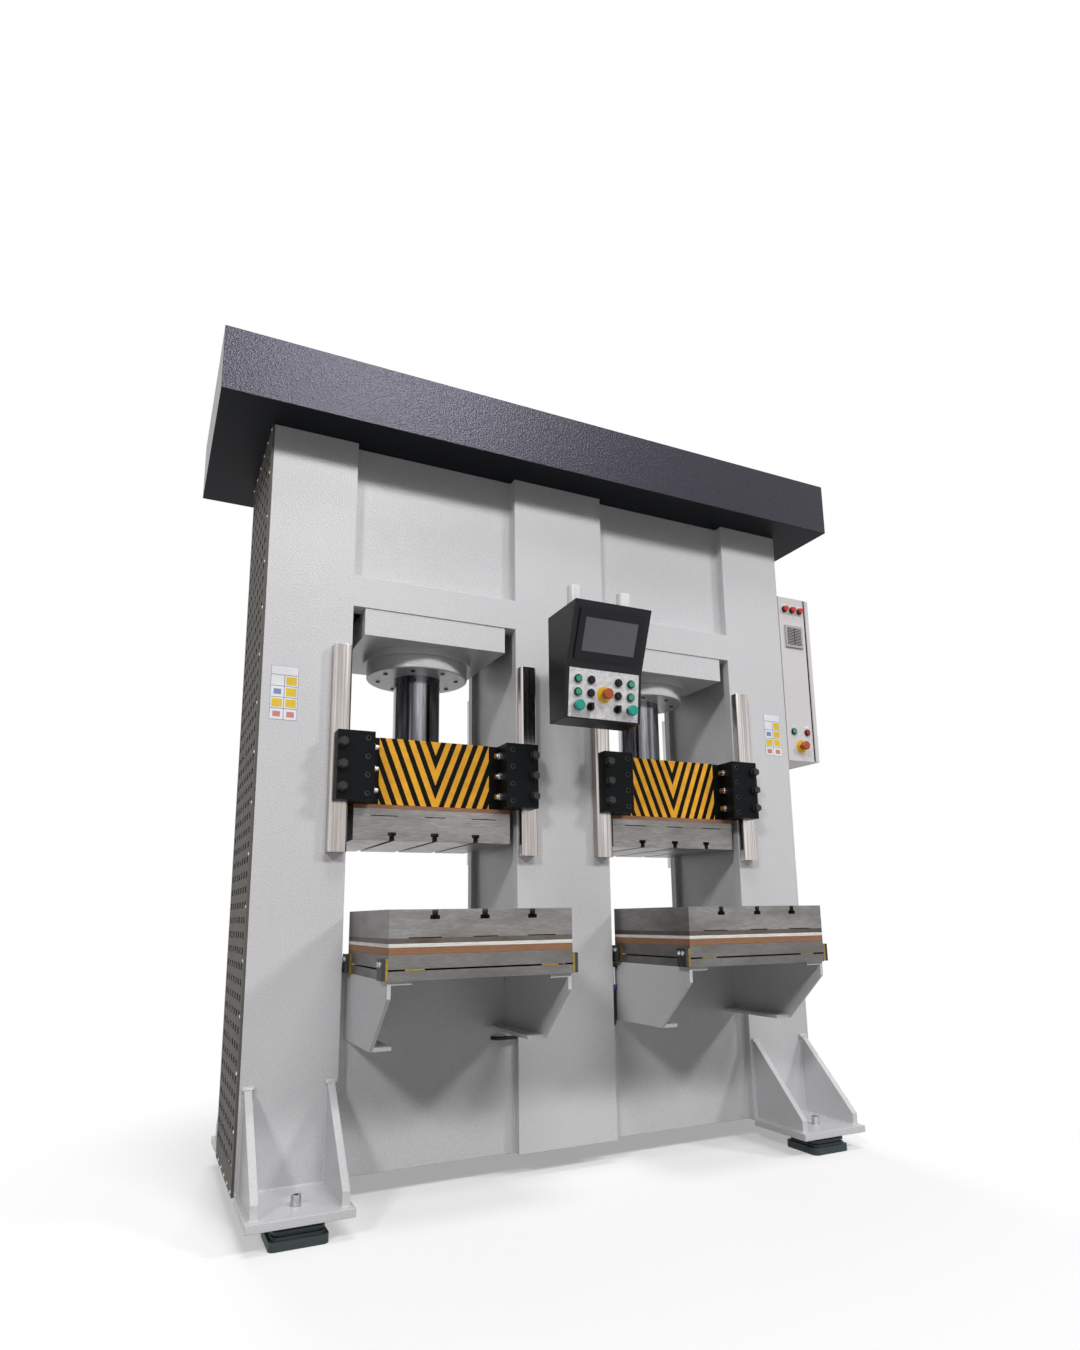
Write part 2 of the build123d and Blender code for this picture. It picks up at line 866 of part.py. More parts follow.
def control_stem(rise):
    """The part of a control that passes through its panel."""
    return extrude(Circle(cap_diameter / 2), rise) + extrude(
        Circle(cap_diameter / 2), -control_cap_depth
    )


def push_button():
    """A push button's cap."""
    return control_stem(control_cap_rise)


def mushroom(lift, thickness):
    """A mushroom head on its stem, with its rim chamfered."""
    head = Pos(0, 0, lift) * extrude(Circle(mushroom_diameter / 2), thickness)
    head = chamfer(head.edges().group_by(Axis.Z)[-1], mushroom_chamfer)
    return control_stem(lift) + head


def selector():
    """A selector switch: a round foot with a bar across it."""
    bar = extrude(Rectangle(selector_bar_width, selector_bar_length), selector_bar_height)
    return control_stem(selector_rise) + Pos(0, 0, selector_rise) * bar


def on_panel(plane, place, shape):
    """A control drawn about its own axis, set at its place on a panel's front."""
    return plane * Pos(*place, 0) * shape


def button_plate():
    """The button plate with its holes, and the rings and the collar clamped to it."""
    plate = extrude(Rectangle(button_plate_width, button_plate_height), button_plate_thickness)
    hole = Cylinder(control_hole / 2, 4 * button_plate_thickness)
    front = Pos(0, 0, button_plate_thickness)
    rings = []
    for place in (*push_buttons.values(), *selectors.values(), *hand_buttons.values()):
        plate -= Pos(*place, 0) * hole
        rings.append(front * Pos(*place, 0) * control_bezel())
    plate -= Pos(*stop_place, 0) * hole
    rings.append(front * Pos(*stop_place, 0) * stop_collar())
    return [control_plane * shape for shape in (plate, *rings)]


button_face = control_plane.offset(button_plate_thickness)

cabinet_inner = frame_half + panel_depth + cabinet_spacer
cabinet_outer = cabinet_inner + cabinet_body_depth
cabinet_front = front_face
cabinet_back = back_face - cabinet_rear_gap
cabinet_top = frame_top - cabinet_drop
cabinet_bottom = cabinet_top - cabinet_height
door_inner = cabinet_outer + cabinet_door_gap
door_outer = door_inner + cabinet_door_depth
cabinet_control_x = cabinet_inner + cabinet_control_centre
cabinet_face = Plane(
    origin=(cabinet_control_x, cabinet_front, cabinet_bottom), x_dir=(1, 0, 0), z_dir=(0, -1, 0)
)
green_place = (-cabinet_button_spacing / 2, cabinet_button_height)
red_place = (cabinet_button_spacing / 2, cabinet_button_height)
cabinet_stop_place = (0, cabinet_stop_height)
hinge_levels = (cabinet_bottom + hinge_inset, cabinet_top - hinge_inset)
hinge_y = cabinet_back + hinge_offset


def hinge_lug(x_low, x_high, z_low):
    """A hinge lug behind the cabinet: a leaf and the knuckle on the hinge axis."""
    z_high = z_low + hinge_length
    leaf = block(x_low, x_high, cabinet_back, hinge_y, z_low, z_high)
    return leaf + rod_z(2 * hinge_radius, door_inner, hinge_y, z_low, z_high)


def cabinet_body():
    """The cabinet's body, open towards its door, on four spacers on the side panel."""
    body = block(
        cabinet_inner, cabinet_outer, cabinet_front, cabinet_back, cabinet_bottom, cabinet_top
    )
    body -= block(
        cabinet_inner + cabinet_wall,
        cabinet_outer + cut_overrun,
        cabinet_front + cabinet_wall,
        cabinet_back - cabinet_wall,
        cabinet_bottom + cabinet_wall,
        cabinet_top - cabinet_wall,
    )
    hole = Cylinder(control_hole / 2, 4 * cabinet_wall)
    for place in (green_place, red_place, cabinet_stop_place):
        body -= cabinet_face * Pos(*place, 0) * hole
    middle = ((cabinet_front + cabinet_back) / 2, (cabinet_bottom + cabinet_top) / 2)
    depth = cabinet_back - cabinet_front
    spread = (depth - 2 * spacer_inset, cabinet_height - 2 * spacer_inset)
    for spot in GridLocations(*spread, 2, 2):
        y, z = middle[0] + spot.position.X, middle[1] + spot.position.Y
        body += rod_x(spacer_diameter, cabinet_inner - cabinet_spacer, cabinet_inner, y, z)
    for level in hinge_levels:
        body += hinge_lug(cabinet_outer - hinge_leaf, cabinet_outer, level)
        pin_bottom = level + hinge_length
        pin_top = pin_bottom + cabinet_door_gap + hinge_length
        body += rod_z(hinge_pin_diameter, door_inner, hinge_y, pin_bottom, pin_top)
    return body


def cabinet_door():
    """The cabinet's door: a shallow folded tray on two hinge lugs."""
    door = block(door_inner, door_outer, cabinet_front, cabinet_back, cabinet_bottom, cabinet_top)
    door -= block(
        door_inner - cut_overrun,
        door_outer - cabinet_wall,
        cabinet_front + cabinet_wall,
        cabinet_back - cabinet_wall,
        cabinet_bottom + cabinet_wall,
        cabinet_top - cabinet_wall,
    )
    for level in hinge_levels:
        lug_level = level + hinge_length + cabinet_door_gap
        lug = hinge_lug(door_inner + cabinet_door_gap, door_outer - cabinet_door_gap, lug_level)
        hole = hinge_pin_diameter + 2 * running_clearance
        door += lug - rod_z(hole, door_inner, hinge_y, level, lug_level + hinge_length + cut_overrun)
    return door


def cabinet_fittings():
    """The lamps, the fan grille, the button rings and the stop's collar on the cabinet's front."""
    lamp = extrude(Circle(control_bezel_diameter / 2), control_bezel_height)
    lamp += extrude(Circle(lamp_diameter / 2), lamp_height)
    lamp_level = cabinet_height - lamp_drop
    pieces = [
        cabinet_face * Pos(spot.position.X, lamp_level) * lamp
        for spot in GridLocations(lamp_spacing, 0, 3, 1)
    ]
    grille = extrude(Rectangle(grille_width, grille_height), grille_thickness)
    slot_pitch = (grille_height - 2 * grille_rim) / grille_slot_count
    slot = Box(grille_width - 2 * grille_rim, grille_slot_height, grille_thickness)
    front = Pos(0, 0, grille_thickness)
    for spot in GridLocations(0, slot_pitch, 1, grille_slot_count):
        grille -= front * Pos(0, spot.position.Y) * slot
    pieces.append(cabinet_face * Pos(0, cabinet_height - grille_drop) * grille)
    pieces += [on_panel(cabinet_face, place, control_bezel()) for place in (green_place, red_place)]
    pieces.append(on_panel(cabinet_face, cabinet_stop_place, stop_collar()))
    return pieces


def cabinet_gear():
    """The mounting plate in the cabinet, with three rows of switchgear on it."""
    plate_low = cabinet_inner + cabinet_wall + gear_plate_standoff
    plate_high = plate_low + cabinet_wall
    front = cabinet_front + gear_plate_margin
    back = cabinet_back - gear_plate_margin
    bottom = cabinet_bottom + gear_plate_margin
    top = cabinet_top - gear_plate_margin
    plate = block(plate_low, plate_high, front, back, bottom, top)
    middle = ((front + back) / 2, (bottom + top) / 2)
    for spot in GridLocations(back - front - spacer_diameter, top - bottom - spacer_diameter, 2, 2):
        y, z = middle[0] + spot.position.X, middle[1] + spot.position.Y
        plate += rod_x(spacer_diameter / 2, cabinet_inner + cabinet_wall, plate_low, y, z)
    row_pitch = (top - bottom) / gear_row_count
    module_pitch = gear_module_width + gear_module_gap
    module = Box(gear_row_depth, gear_module_width, gear_row_height)
    pieces = [plate]
    for spot in GridLocations(module_pitch, row_pitch, gear_module_count, gear_row_count):
        place = (plate_high + gear_row_depth / 2, middle[0] + spot.position.X, middle[1] + spot.position.Y)
        pieces.append(Pos(*place) * module)
    return pieces


tank_back = canopy_back - canopy_sheet - tank_gap
tank_front = tank_back - tank_depth
motor_y = canopy_front + motor_setback
motor_z = canopy_floor + motor_axis_height
motor_right = motor_length / 2
pump_right = motor_right + pump_flange_length + pump_length
manifold_top = canopy_floor + manifold_height
pipe_level = canopy_floor + pipe_height_share * manifold_height


def oil_tank():
    """The low oil tank along the back of the canopy, and its lid with the filler cap."""
    half = tank_width / 2
    top = canopy_floor + tank_height
    tank = block(-half, half, tank_front, tank_back, canopy_floor, top)
    inner = half - tank_wall
    floor = canopy_floor + tank_wall
    tank -= block(-inner, inner, tank_front + tank_wall, tank_back - tank_wall, floor, top + cut_overrun)
    lid_half = half + tank_lid
    lid_top = top + tank_lid
    lid = block(-lid_half, lid_half, tank_front - tank_lid, tank_back + tank_lid, top, lid_top)
    cap_x = half - tank_depth / 2
    cap_y = (tank_front + tank_back) / 2
    lid += rod_z(tank_cap_diameter, cap_x, cap_y, lid_top, lid_top + tank_cap_height)
    return [tank, lid]


def motor_pump():
    """The ribbed electric motor on its feet, and the pump flanged to its end with its suction pipe."""
    motor = rod_x(motor_diameter, -motor_right, motor_right, motor_y, motor_z)
    rib_ring = rod_x(motor_diameter + 2 * motor_rib_height, -motor_right, motor_right, motor_y, motor_z)
    rib_pitch = motor_length / (2 * motor_rib_count + 1)
    for number in range(motor_rib_count):
        rib_low = -motor_right + (2 * number + 1) * rib_pitch
        rib = block(
            rib_low,
            rib_low + rib_pitch,
            motor_y - motor_diameter,
            motor_y + motor_diameter,
            motor_z - motor_diameter,
            motor_z + motor_diameter,
        )
        motor += rib_ring & rib
    foot_half = motor_foot_width / 2
    foot_end = motor_length / 3
    motor += block(
        -foot_end, foot_end, motor_y - foot_half, motor_y + foot_half, canopy_floor, motor_z
    )
    flange_right = motor_right + pump_flange_length
    pump = rod_x(pump_flange_diameter, motor_right, flange_right, motor_y, motor_z)
    pump += rod_x(pump_diameter, flange_right, pump_right, motor_y, motor_z)
    suction_x = (flange_right + pump_right) / 2
    pump += rod_y(pipe_diameter, suction_x, motor_y, tank_front, motor_z)
    return [motor, pump]


def valves_and_pipes():
    """The valve manifold over each cylinder and the pipes to the barrels, the tank and the pump."""
    half_width, half_depth = manifold_width / 2, manifold_depth / 2
    manifold = block(-half_width, half_width, -half_depth, half_depth, canopy_floor, manifold_top)
    valve = block(
        -valve_width / 2,
        valve_width / 2,
        -valve_length / 2,
        valve_length / 2,
        manifold_top,
        manifold_top + valve_height,
    )
    for spot in GridLocations(manifold_width / valve_count, 0, valve_count, 1):
        manifold += Pos(spot.position.X, 0, 0) * valve
    station = [
        manifold,
        rod_z(pipe_diameter, 0, 0, barrel_top, canopy_floor),
        rod_z(pipe_diameter, feed_pipe_offset, 0, window_top, canopy_floor),
        rod_y(pipe_diameter, 0, half_depth, tank_front, pipe_level),
    ]
    pieces = at_stations(station)
    link_half = station_centre - half_width
    pieces.append(rod_x(pipe_diameter, -link_half, link_half, 0, pipe_level))
    pressure = rod_x(pipe_diameter, pump_right, station_centre + pipe_diameter / 2, motor_y, motor_z)
    riser = rod_y(pipe_diameter, station_centre, motor_y, -half_depth, motor_z)
    pieces.append(pressure + riser)
    return pieces


def drain_tap():
    """The tap beside the right station, and the hose that hangs from it and turns into the beam."""
    x = middle_column_width / 2 + tap_edge_gap
    y = beam_front - tap_setout
    top = bed_bottom - tap_drop
    low = top - tap_height
    tap = rod_z(tap_diameter, x, y, low, top)
    tap += rod_y(tap_diameter, x, y, beam_front, (low + top) / 2)
    half = tap_handle_length / 2
    tap += rod_y(tap_handle_diameter, x, y - half, y + half, top)
    bend_level = low - hose_drop
    hose = rod_z(hose_diameter, x, y, bend_level, low)
    mouth = Pos(x, y, bend_level) * Circle(hose_diameter / 2)
    hose += revolve(mouth, Axis((x, beam_front, bend_level), (1, 0, 0)), 90)
    return [tap, hose]


def hose_loop():
    """The short hose at the left station, from the middle column's edge into the beam."""
    start = -middle_column_width / 2
    end = start - loop_reach
    y = beam_front - tap_setout
    level = bed_bottom - loop_drop
    hose = rod_x(hose_diameter, end, start, y, level)
    mouth = Plane(origin=(end, y, level), z_dir=(-1, 0, 0)) * Circle(hose_diameter / 2)
    return hose + revolve(mouth, Axis((end, beam_front, level), (0, 0, -1)), 90)


def build():
    """Models every node and writes it."""
    save("frame_plates", front_rear(frame_plate()))
    save("column_webs", column_webs())
    save("beam_panels", beam_panels())
    save("cylinder_blocks", at_stations([cylinder_block()]))
    save("cylinder_barrels", at_stations([cylinder_barrel()]))
    save("rod_glands", at_stations([rod_gland()]))
    save("guide_rails", at_stations(four_corners(guide_rail())))
    save("feet", four_corners(foot()))
    save("machine_mounts", [copy for piece in machine_mount() for copy in four_corners(piece)])
    save("side_panels", [side_panel(), vent_panel()])
    save("canopy", [canopy()])
    save("bed_plates", at_stations([bed_plate()]))
    save("table_brackets", at_stations(left_right(table_bracket())))

    blocks = four_corners(guide_block())
    screws = [copy for screw in guide_screws() for copy in four_corners(screw)]
    for side, centre in zip(("left", "right"), station_centres):
        station = Pos(centre, 0, 0)
        save(side + "_rod", [station * ram()])
        save(side + "_slide", [station * slide()])
        save(side + "_guide_blocks", [station * piece for piece in blocks])
        save(side + "_guide_screws", [station * piece for piece in screws])
        save(side + "_upper_platen", [station * piece for piece in upper_platen()])
        save(side + "_upper_board", [station * upper_board()])
        save(side + "_lower_platen", [station * piece for piece in lower_platen()])
        boards = (table_layer(brown_top, white_top), table_layer(shuttle_top, brown_top))
        save(side + "_table_boards", [station * piece for piece in boards])
        save(side + "_shuttle_plate", [station * piece for piece in shuttle_plate()])
        save(side + "_table_liners", [station * piece for piece in table_liners()])

    save("pendant_box", [pendant_box()])
    save("pendant_mount", pendant_mount())
    save("operator_screen", [operator_screen()])
    save("button_plate", button_plate())
    for node, place in push_buttons.items():
        save(node, [on_panel(button_face, place, push_button())])
    for node, place in selectors.items():
        save(node, [on_panel(button_face, place, selector())])
    for node, place in hand_buttons.items():
        save(node, [on_panel(button_face, place, mushroom(mushroom_lift, mushroom_thickness))])
    stop_head = mushroom(stop_lift, stop_head_thickness)
    save("emergency_stop", [on_panel(button_face, stop_place, stop_head)])

    save("cabinet_body", [cabinet_body()])
    save("cabinet_door", [cabinet_door()])
    save("cabinet_fittings", cabinet_fittings())
    save("cabinet_gear", cabinet_gear())
    save("cabinet_green_button", [on_panel(cabinet_face, green_place, push_button())])
    save("cabinet_red_button", [on_panel(cabinet_face, red_place, push_button())])
    save("cabinet_emergency_stop", [on_panel(cabinet_face, cabinet_stop_place, stop_head)])

    save("oil_tank", oil_tank())
    save("motor_pump", motor_pump())
    save("valves_and_pipes", [*valves_and_pipes(), *drain_tap(), hose_loop()])


os.makedirs("parts", exist_ok=True)
build()
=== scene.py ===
import math

import bmesh
import bpy
from bpy.props import FloatProperty, IntProperty, PointerProperty, StringProperty
from mathutils import Matrix, Vector


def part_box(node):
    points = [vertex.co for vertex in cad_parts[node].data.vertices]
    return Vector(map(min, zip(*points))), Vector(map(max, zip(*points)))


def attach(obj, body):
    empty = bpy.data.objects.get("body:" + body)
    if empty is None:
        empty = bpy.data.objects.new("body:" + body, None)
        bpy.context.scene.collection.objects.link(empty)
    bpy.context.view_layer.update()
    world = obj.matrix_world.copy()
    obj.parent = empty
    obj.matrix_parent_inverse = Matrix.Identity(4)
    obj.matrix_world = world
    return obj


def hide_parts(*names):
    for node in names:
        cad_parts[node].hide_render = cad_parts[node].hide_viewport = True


bl_info = {
    "name": "Two-station hydraulic press",
    "version": (1, 0, 0),
    "blender": (4, 5, 0),
    "location": "3D View > Sidebar > Press",
    "description": "Paint, welds, fasteners and controls on the solids of a hydraulic press",
    "category": "Object",
}

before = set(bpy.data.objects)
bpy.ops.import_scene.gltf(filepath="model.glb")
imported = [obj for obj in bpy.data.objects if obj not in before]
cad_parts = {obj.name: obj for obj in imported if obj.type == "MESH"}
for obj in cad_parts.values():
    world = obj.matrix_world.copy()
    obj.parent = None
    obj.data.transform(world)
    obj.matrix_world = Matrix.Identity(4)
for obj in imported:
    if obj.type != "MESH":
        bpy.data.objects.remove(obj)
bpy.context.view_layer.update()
STATIONS = ("left", "right")
ACROSS = Vector((1, 0, 0))
UP = Vector((0, 0, 1))
FORWARD = Vector((0, -1, 0))

BLACK, WHITE = (0, 0, 0, 1), (1, 1, 1, 1)

# Where a noise starts to turn dark and light, out of 1: for most patterns, then a paint's flecks, a metal's
# stains and painted dark reflections, a board's fibres and the worn spots on the stripes.
TURNS = (0.3, 0.7)
FLECK_TURNS, STAIN_AND_REFLECTION_TURNS, FIBRE_TURNS, WEAR_TURNS = (0.36, 0.64), (0.42, 0.72), (0.3, 0.68), (0.35, 0.65)
# The darkest and lightest tones of a moulding, a board and the worn stripes, and the darkest of a paint's
# drift, as shares of their colours.
MOULD_TONES, FIBRE_TONES, WEAR_TONES = (0.9, 1.1), (0.76, 1.12), (0.88, 1.05)
DRIFT_TONE = 0.95
# Lengths over which a paint's tone drifts, a metal's stains and painted dark reflections spread and the
# stripes wear, in metres.
DRIFT, STAIN_AND_REFLECTION, WEAR = 0.6, 0.09, 0.03
# Height of a moulded or painted skin's pimples as a share of their size, and how strongly a moulding's show.
SKIN_DEPTH_SHARE, MOULD_LIFT = 0.18, 0.08
# The depth of a metal's scratches in metres, how strongly they show, and the least and most roughness that
# they give as shares of the metal's own.
SCRATCH_DEPTH, SCRATCH_LIFT, SCRATCH_ROUGHNESS_SHARES = 0.0004, 0.1, (0.78, 1.2)
# A moulding's tone changes over this many of its grains.
TONE_REACH = 12
# Length of a board's fibres and the depth between them in metres, how strongly they show, and how matt
# they are.
FIBRE_LENGTH, FIBRE_DEPTH, FIBRE_LIFT, FIBRE_ROUGHNESS = 0.06, 0.0006, 0.2, 0.72
# The stripes' lean off the upright, the yellow's share of their pitch, and their roughness and shine.
STRIPE_LEAN, YELLOW_SHARE = math.tan(math.radians(21)), 0.53
STRIPE_ROUGHNESS, STRIPE_SPECULAR = 0.5, 0.1
# Points closer than this are one point, in metres, as are places that agree to this many decimals.
MERGE, DECIMALS = 1e-5, 5
# A fold sharper than this is an edge, and a rounded edge has this many steps.
SHARP, EDGE_STEPS = math.radians(36), 2
# A face that looks forward by more than this belongs to a front.
FRONT_LEAN = 0.5
# A screw head's parts, as shares of its width: its socket's radius, its rim and a nut's chamfered rim.
SOCKET_SHARE, RIM_SHARE, NUT_RIM_SHARE = 0.29, 0.06, 0.05
# The floor of a screw's socket, as a share of its head's height, and the sides of a nut.
SOCKET_FLOOR_SHARE, NUT_SIDES = 1 / 3, 6
# A low domed head's outline of (radius, height), as shares of its radius.
PAN_SHARES = ((0, 0), (1, 0), (1, 0.2), (0.75, 0.5), (0.35, 0.62), (0, 0.62))
# A weld bead's sides, its thinnest and its ripples' swell as shares of its radius, and its slow sways as
# pairs of a share of its radius and a rate.
BEAD_SIDES = 8
BEAD_THIN_SHARE, BEAD_SWELL_SHARE = 0.84, 0.18
BEAD_SWAY_SHARES = ((0.1, 1.7), (0.06, 0.61))
# How far an object's large faces lead the shading of its rounded edges, out of 100.
FACE_LEAD = 90


class PressColours(bpy.types.PropertyGroup):
    """Colours of the press, as sRGB hex values."""

    frame_paint: StringProperty(
        name="Frame paint", description="Plates, webs, feet and brackets", default="#CBCACC"
    )
    canopy_paint: StringProperty(
        name="Canopy paint", description="Tray on top of the frame", default="#1B1B22"
    )
    stainless: StringProperty(name="Side panels", description="Stainless sheet", default="#635F5B")
    rail_steel: StringProperty(name="Rails", description="Ground guide rails", default="#C6C0BD")
    # The rods' chrome tone, round which painted light and dark reflection streaks are drawn.
    rod_chrome: StringProperty(name="Rods", description="Hard chrome on the rods", default="#9A9A9F")
    platen_steel: StringProperty(name="Platens", description="Ground tool steel", default="#8F8D8B")
    platen_stain: StringProperty(
        name="Platen stain", description="Oil and heat stains on the steel", default="#6A6663"
    )
    bed_steel: StringProperty(
        name="Beds", description="Milled bed and shuttle plates", default="#7C7A78"
    )
    black_oxide: StringProperty(name="Guide blocks", description="Blackened steel", default="#0C0E10")
    brown_board: StringProperty(
        name="Brown board", description="Pressed insulating board", default="#8E664B"
    )
    white_board: StringProperty(
        name="White board", description="Calcium silicate board", default="#E2DFDA"
    )
    brass: StringProperty(name="Liners", description="Brass wear liners", default="#9C8645")
    keeper_steel: StringProperty(name="Keepers", description="Blued keeper plates", default="#4C4B49")
    stripe_yellow: StringProperty(name="Stripe yellow", description="Warning stripes", default="#E8A838")
    stripe_black: StringProperty(name="Stripe black", description="Warning stripes", default="#060504")
    pendant_black: StringProperty(name="Pendant", description="Powder coated box", default="#0F1115")
    button_sheet: StringProperty(
        name="Button plate", description="Pale sheet under the buttons", default="#D6D4D6"
    )
    cabinet_paint: StringProperty(name="Cabinet", description="Powder coated cabinet", default="#CFCBCC")
    mount_rubber: StringProperty(name="Mounts", description="Moulded rubber", default="#2A3536")


class PressSizes(bpy.types.PropertyGroup):
    """Sizes of what is added to the solids."""

    edge: FloatProperty(
        name="Edge", description="Rounding of cut plate edges", default=0.0018, unit="LENGTH"
    )
    fine_edge: FloatProperty(
        name="Fine edge", description="Rounding of ground edges", default=0.0009, unit="LENGTH"
    )
    skin: FloatProperty(
        name="Skin", description="Thickness of paint fields, labels and tags", default=0.0006, unit="LENGTH"
    )
    weld_leg: FloatProperty(
        name="Weld", description="Radius of a weld bead", default=0.0055, unit="LENGTH"
    )
    weld_step: FloatProperty(
        name="Weld step", description="Length of one weld ripple", default=0.009, unit="LENGTH"
    )
    stripe_pitch: FloatProperty(
        name="Stripe pitch", description="Across a yellow and a black stripe", default=0.043, unit="LENGTH"
    )
    stripe_half: FloatProperty(
        name="Stripe field", description="Half the width of the striped field", default=0.2125, unit="LENGTH"
    )
    panel_pitch: FloatProperty(
        name="Panel screws", description="Spacing of the side panel screws", default=0.165, unit="LENGTH"
    )
    panel_head: FloatProperty(
        name="Panel screw", description="Head of a side panel screw", default=0.011, unit="LENGTH"
    )
    block_head: FloatProperty(
        name="Block screw", description="Head of a guide block's sunk screw", default=0.024, unit="LENGTH"
    )
    lock_nut: FloatProperty(
        name="Lock nut", description="Flats of an adjuster's lock nut", default=0.034, unit="LENGTH"
    )
    adjuster: FloatProperty(
        name="Adjuster", description="Flats of an adjuster's head", default=0.028, unit="LENGTH"
    )
    side_nut: FloatProperty(
        name="Side nut", description="Flats of a side screw's nut", default=0.024, unit="LENGTH"
    )
    side_screw: FloatProperty(
        name="Side screw", description="Length of a side screw", default=0.026, unit="LENGTH"
    )
    side_setback: FloatProperty(
        name="Side screw place", description="Side screws in front of the plate", default=0.025, unit="LENGTH"
    )
    low_head: FloatProperty(
        name="Low head", description="Height of a low screw head", default=0.004, unit="LENGTH"
    )
    keeper_head: FloatProperty(
        name="Keeper screw", description="Head of a table keeper's screw", default=0.016, unit="LENGTH"
    )
    gland_head: FloatProperty(
        name="Gland screw", description="Head of a rod gland's screw", default=0.018, unit="LENGTH"
    )
    plate_head: FloatProperty(
        name="Plate screw", description="Head of a button plate screw", default=0.0072, unit="LENGTH"
    )
    tag_width: FloatProperty(
        name="Tag width", description="Blank tag over a control", default=0.024, unit="LENGTH"
    )
    tag_height: FloatProperty(
        name="Tag height", description="Blank tag over a control", default=0.0085, unit="LENGTH"
    )
    tag_rise: FloatProperty(
        name="Tag over", description="Tag above its control's middle", default=0.0215, unit="LENGTH"
    )
    tag_drop: FloatProperty(
        name="Tag under", description="Tag below a hand button's middle", default=0.0265, unit="LENGTH"
    )
    glass_width: FloatProperty(
        name="Glass width", description="Glass of the touch panel", default=0.220, unit="LENGTH"
    )
    glass_height: FloatProperty(
        name="Glass height", description="Glass of the touch panel", default=0.123, unit="LENGTH"
    )
    collar_reach: FloatProperty(
        name="Collar", description="Radius that holds a stop's collar", default=0.032, unit="LENGTH"
    )
    round_steps: IntProperty(
        name="Round steps", description="Segments of a round fastener", default=20, min=8, max=96
    )


class PressStage(bpy.types.PropertyGroup):
    """The camera and the light."""

    lens: FloatProperty(
        name="Lens", description="Focal length on a 36 mm sensor, in millimetres", default=22.40
    )
    key: FloatProperty(name="Key light", description="The front lamp", default=1180.0, unit="POWER")
    left: FloatProperty(name="Left light", description="The left lamp", default=1180.0, unit="POWER")
    right: FloatProperty(name="Right light", description="The right lamp", default=1080.0, unit="POWER")
    top: FloatProperty(name="Top light", description="The lamp overhead", default=360.0, unit="POWER")
    rear: FloatProperty(name="Rear light", description="The lamp behind", default=1000.0, unit="POWER")
    sky: FloatProperty(name="Sky", description="Strength of the even light from all round", default=0.09)


def linear(code):
    """An sRGB hex value as linear red, green, blue and alpha, by the sRGB standard's own curve."""
    parts = [int(code[i : i + 2], 16) / 255 for i in (1, 3, 5)]
    return (*[c / 12.92 if c <= 0.04045 else ((c + 0.055) / 1.055) ** 2.4 for c in parts], 1.0)


def shade(code, factor):
    """A colour made lighter or darker by a factor."""
    return (*[min(1.0, c * factor) for c in linear(code)[:3]], 1.0)


def shades(turns, code, factors):
    """A ramp's two stops: a colour's dark and light shades, at the places where a noise turns to them."""
    return [(turn, shade(code, factor)) for turn, factor in zip(turns, factors)]


def add(tree, kind, inputs, stops=(), **settings):
    """Adds a node with its settings, and sets or links its inputs."""
    made = tree.nodes.new(kind)
    for name, value in settings.items():
        setattr(made, name, value)
    for socket, value in inputs.items():
        if isinstance(value, bpy.types.NodeSocket):
            tree.links.new(value, made.inputs[socket])
        else:
            made.inputs[socket].default_value = value
    for number, (place, colour) in enumerate(stops):
        made.color_ramp.elements[number].position = place
        made.color_ramp.elements[number].color = colour
    return made


def material(name):
    """A new empty material and its node tree."""
    made = bpy.data.materials.new(name)
    made.use_nodes = True
    made.node_tree.nodes.clear()
    return made, made.node_tree


def textured_paint(name, code, cell, lift, roughness, spread, specular=0.5, tint="#FFFFFF"):
    """Structured industrial paint: a pimpled skin that glints, over a faint change of tone.

    The skin is coarser than the real one, so that it shows at the picture's scale.
    """
    made, tree = material(name)
    place = add(tree, "ShaderNodeTexCoord", {}).outputs["Object"]
    fine = {"Vector": place, "Scale": 1 / cell, "Detail": 2.0, "Roughness": 0.6}
    skin = add(tree, "ShaderNodeTexNoise", fine)
    stops = shades(FLECK_TURNS, code, (1 - spread, 1 + spread))
    flecks = add(tree, "ShaderNodeValToRGB", {"Fac": skin.outputs["Fac"]}, stops)
    drift = add(tree, "ShaderNodeTexNoise", {"Vector": place, "Scale": 1 / DRIFT, "Detail": 3.0})
    stops = zip(TURNS, ((DRIFT_TONE, DRIFT_TONE, DRIFT_TONE, 1), WHITE))
    tone = add(tree, "ShaderNodeValToRGB", {"Fac": drift.outputs["Fac"]}, stops)
    colour = add(
        tree,
        "ShaderNodeMix",
        {0: 1.0, 6: flecks.outputs["Color"], 7: tone.outputs["Color"]},
        data_type="RGBA",
        blend_type="MULTIPLY",
    )
    height = {"Height": skin.outputs["Fac"], "Strength": lift, "Distance": cell * SKIN_DEPTH_SHARE}
    bump = add(tree, "ShaderNodeBump", height)
    shader = add(
        tree,
        "ShaderNodeBsdfPrincipled",
        {
            "Base Color": colour.outputs[2],
            "Roughness": roughness,
            "Specular IOR Level": specular,
            "Specular Tint": linear(tint),
            "Normal": bump.outputs["Normal"],
        },
    )
    add(tree, "ShaderNodeOutputMaterial", {"Surface": shader.outputs[0]})
    return made


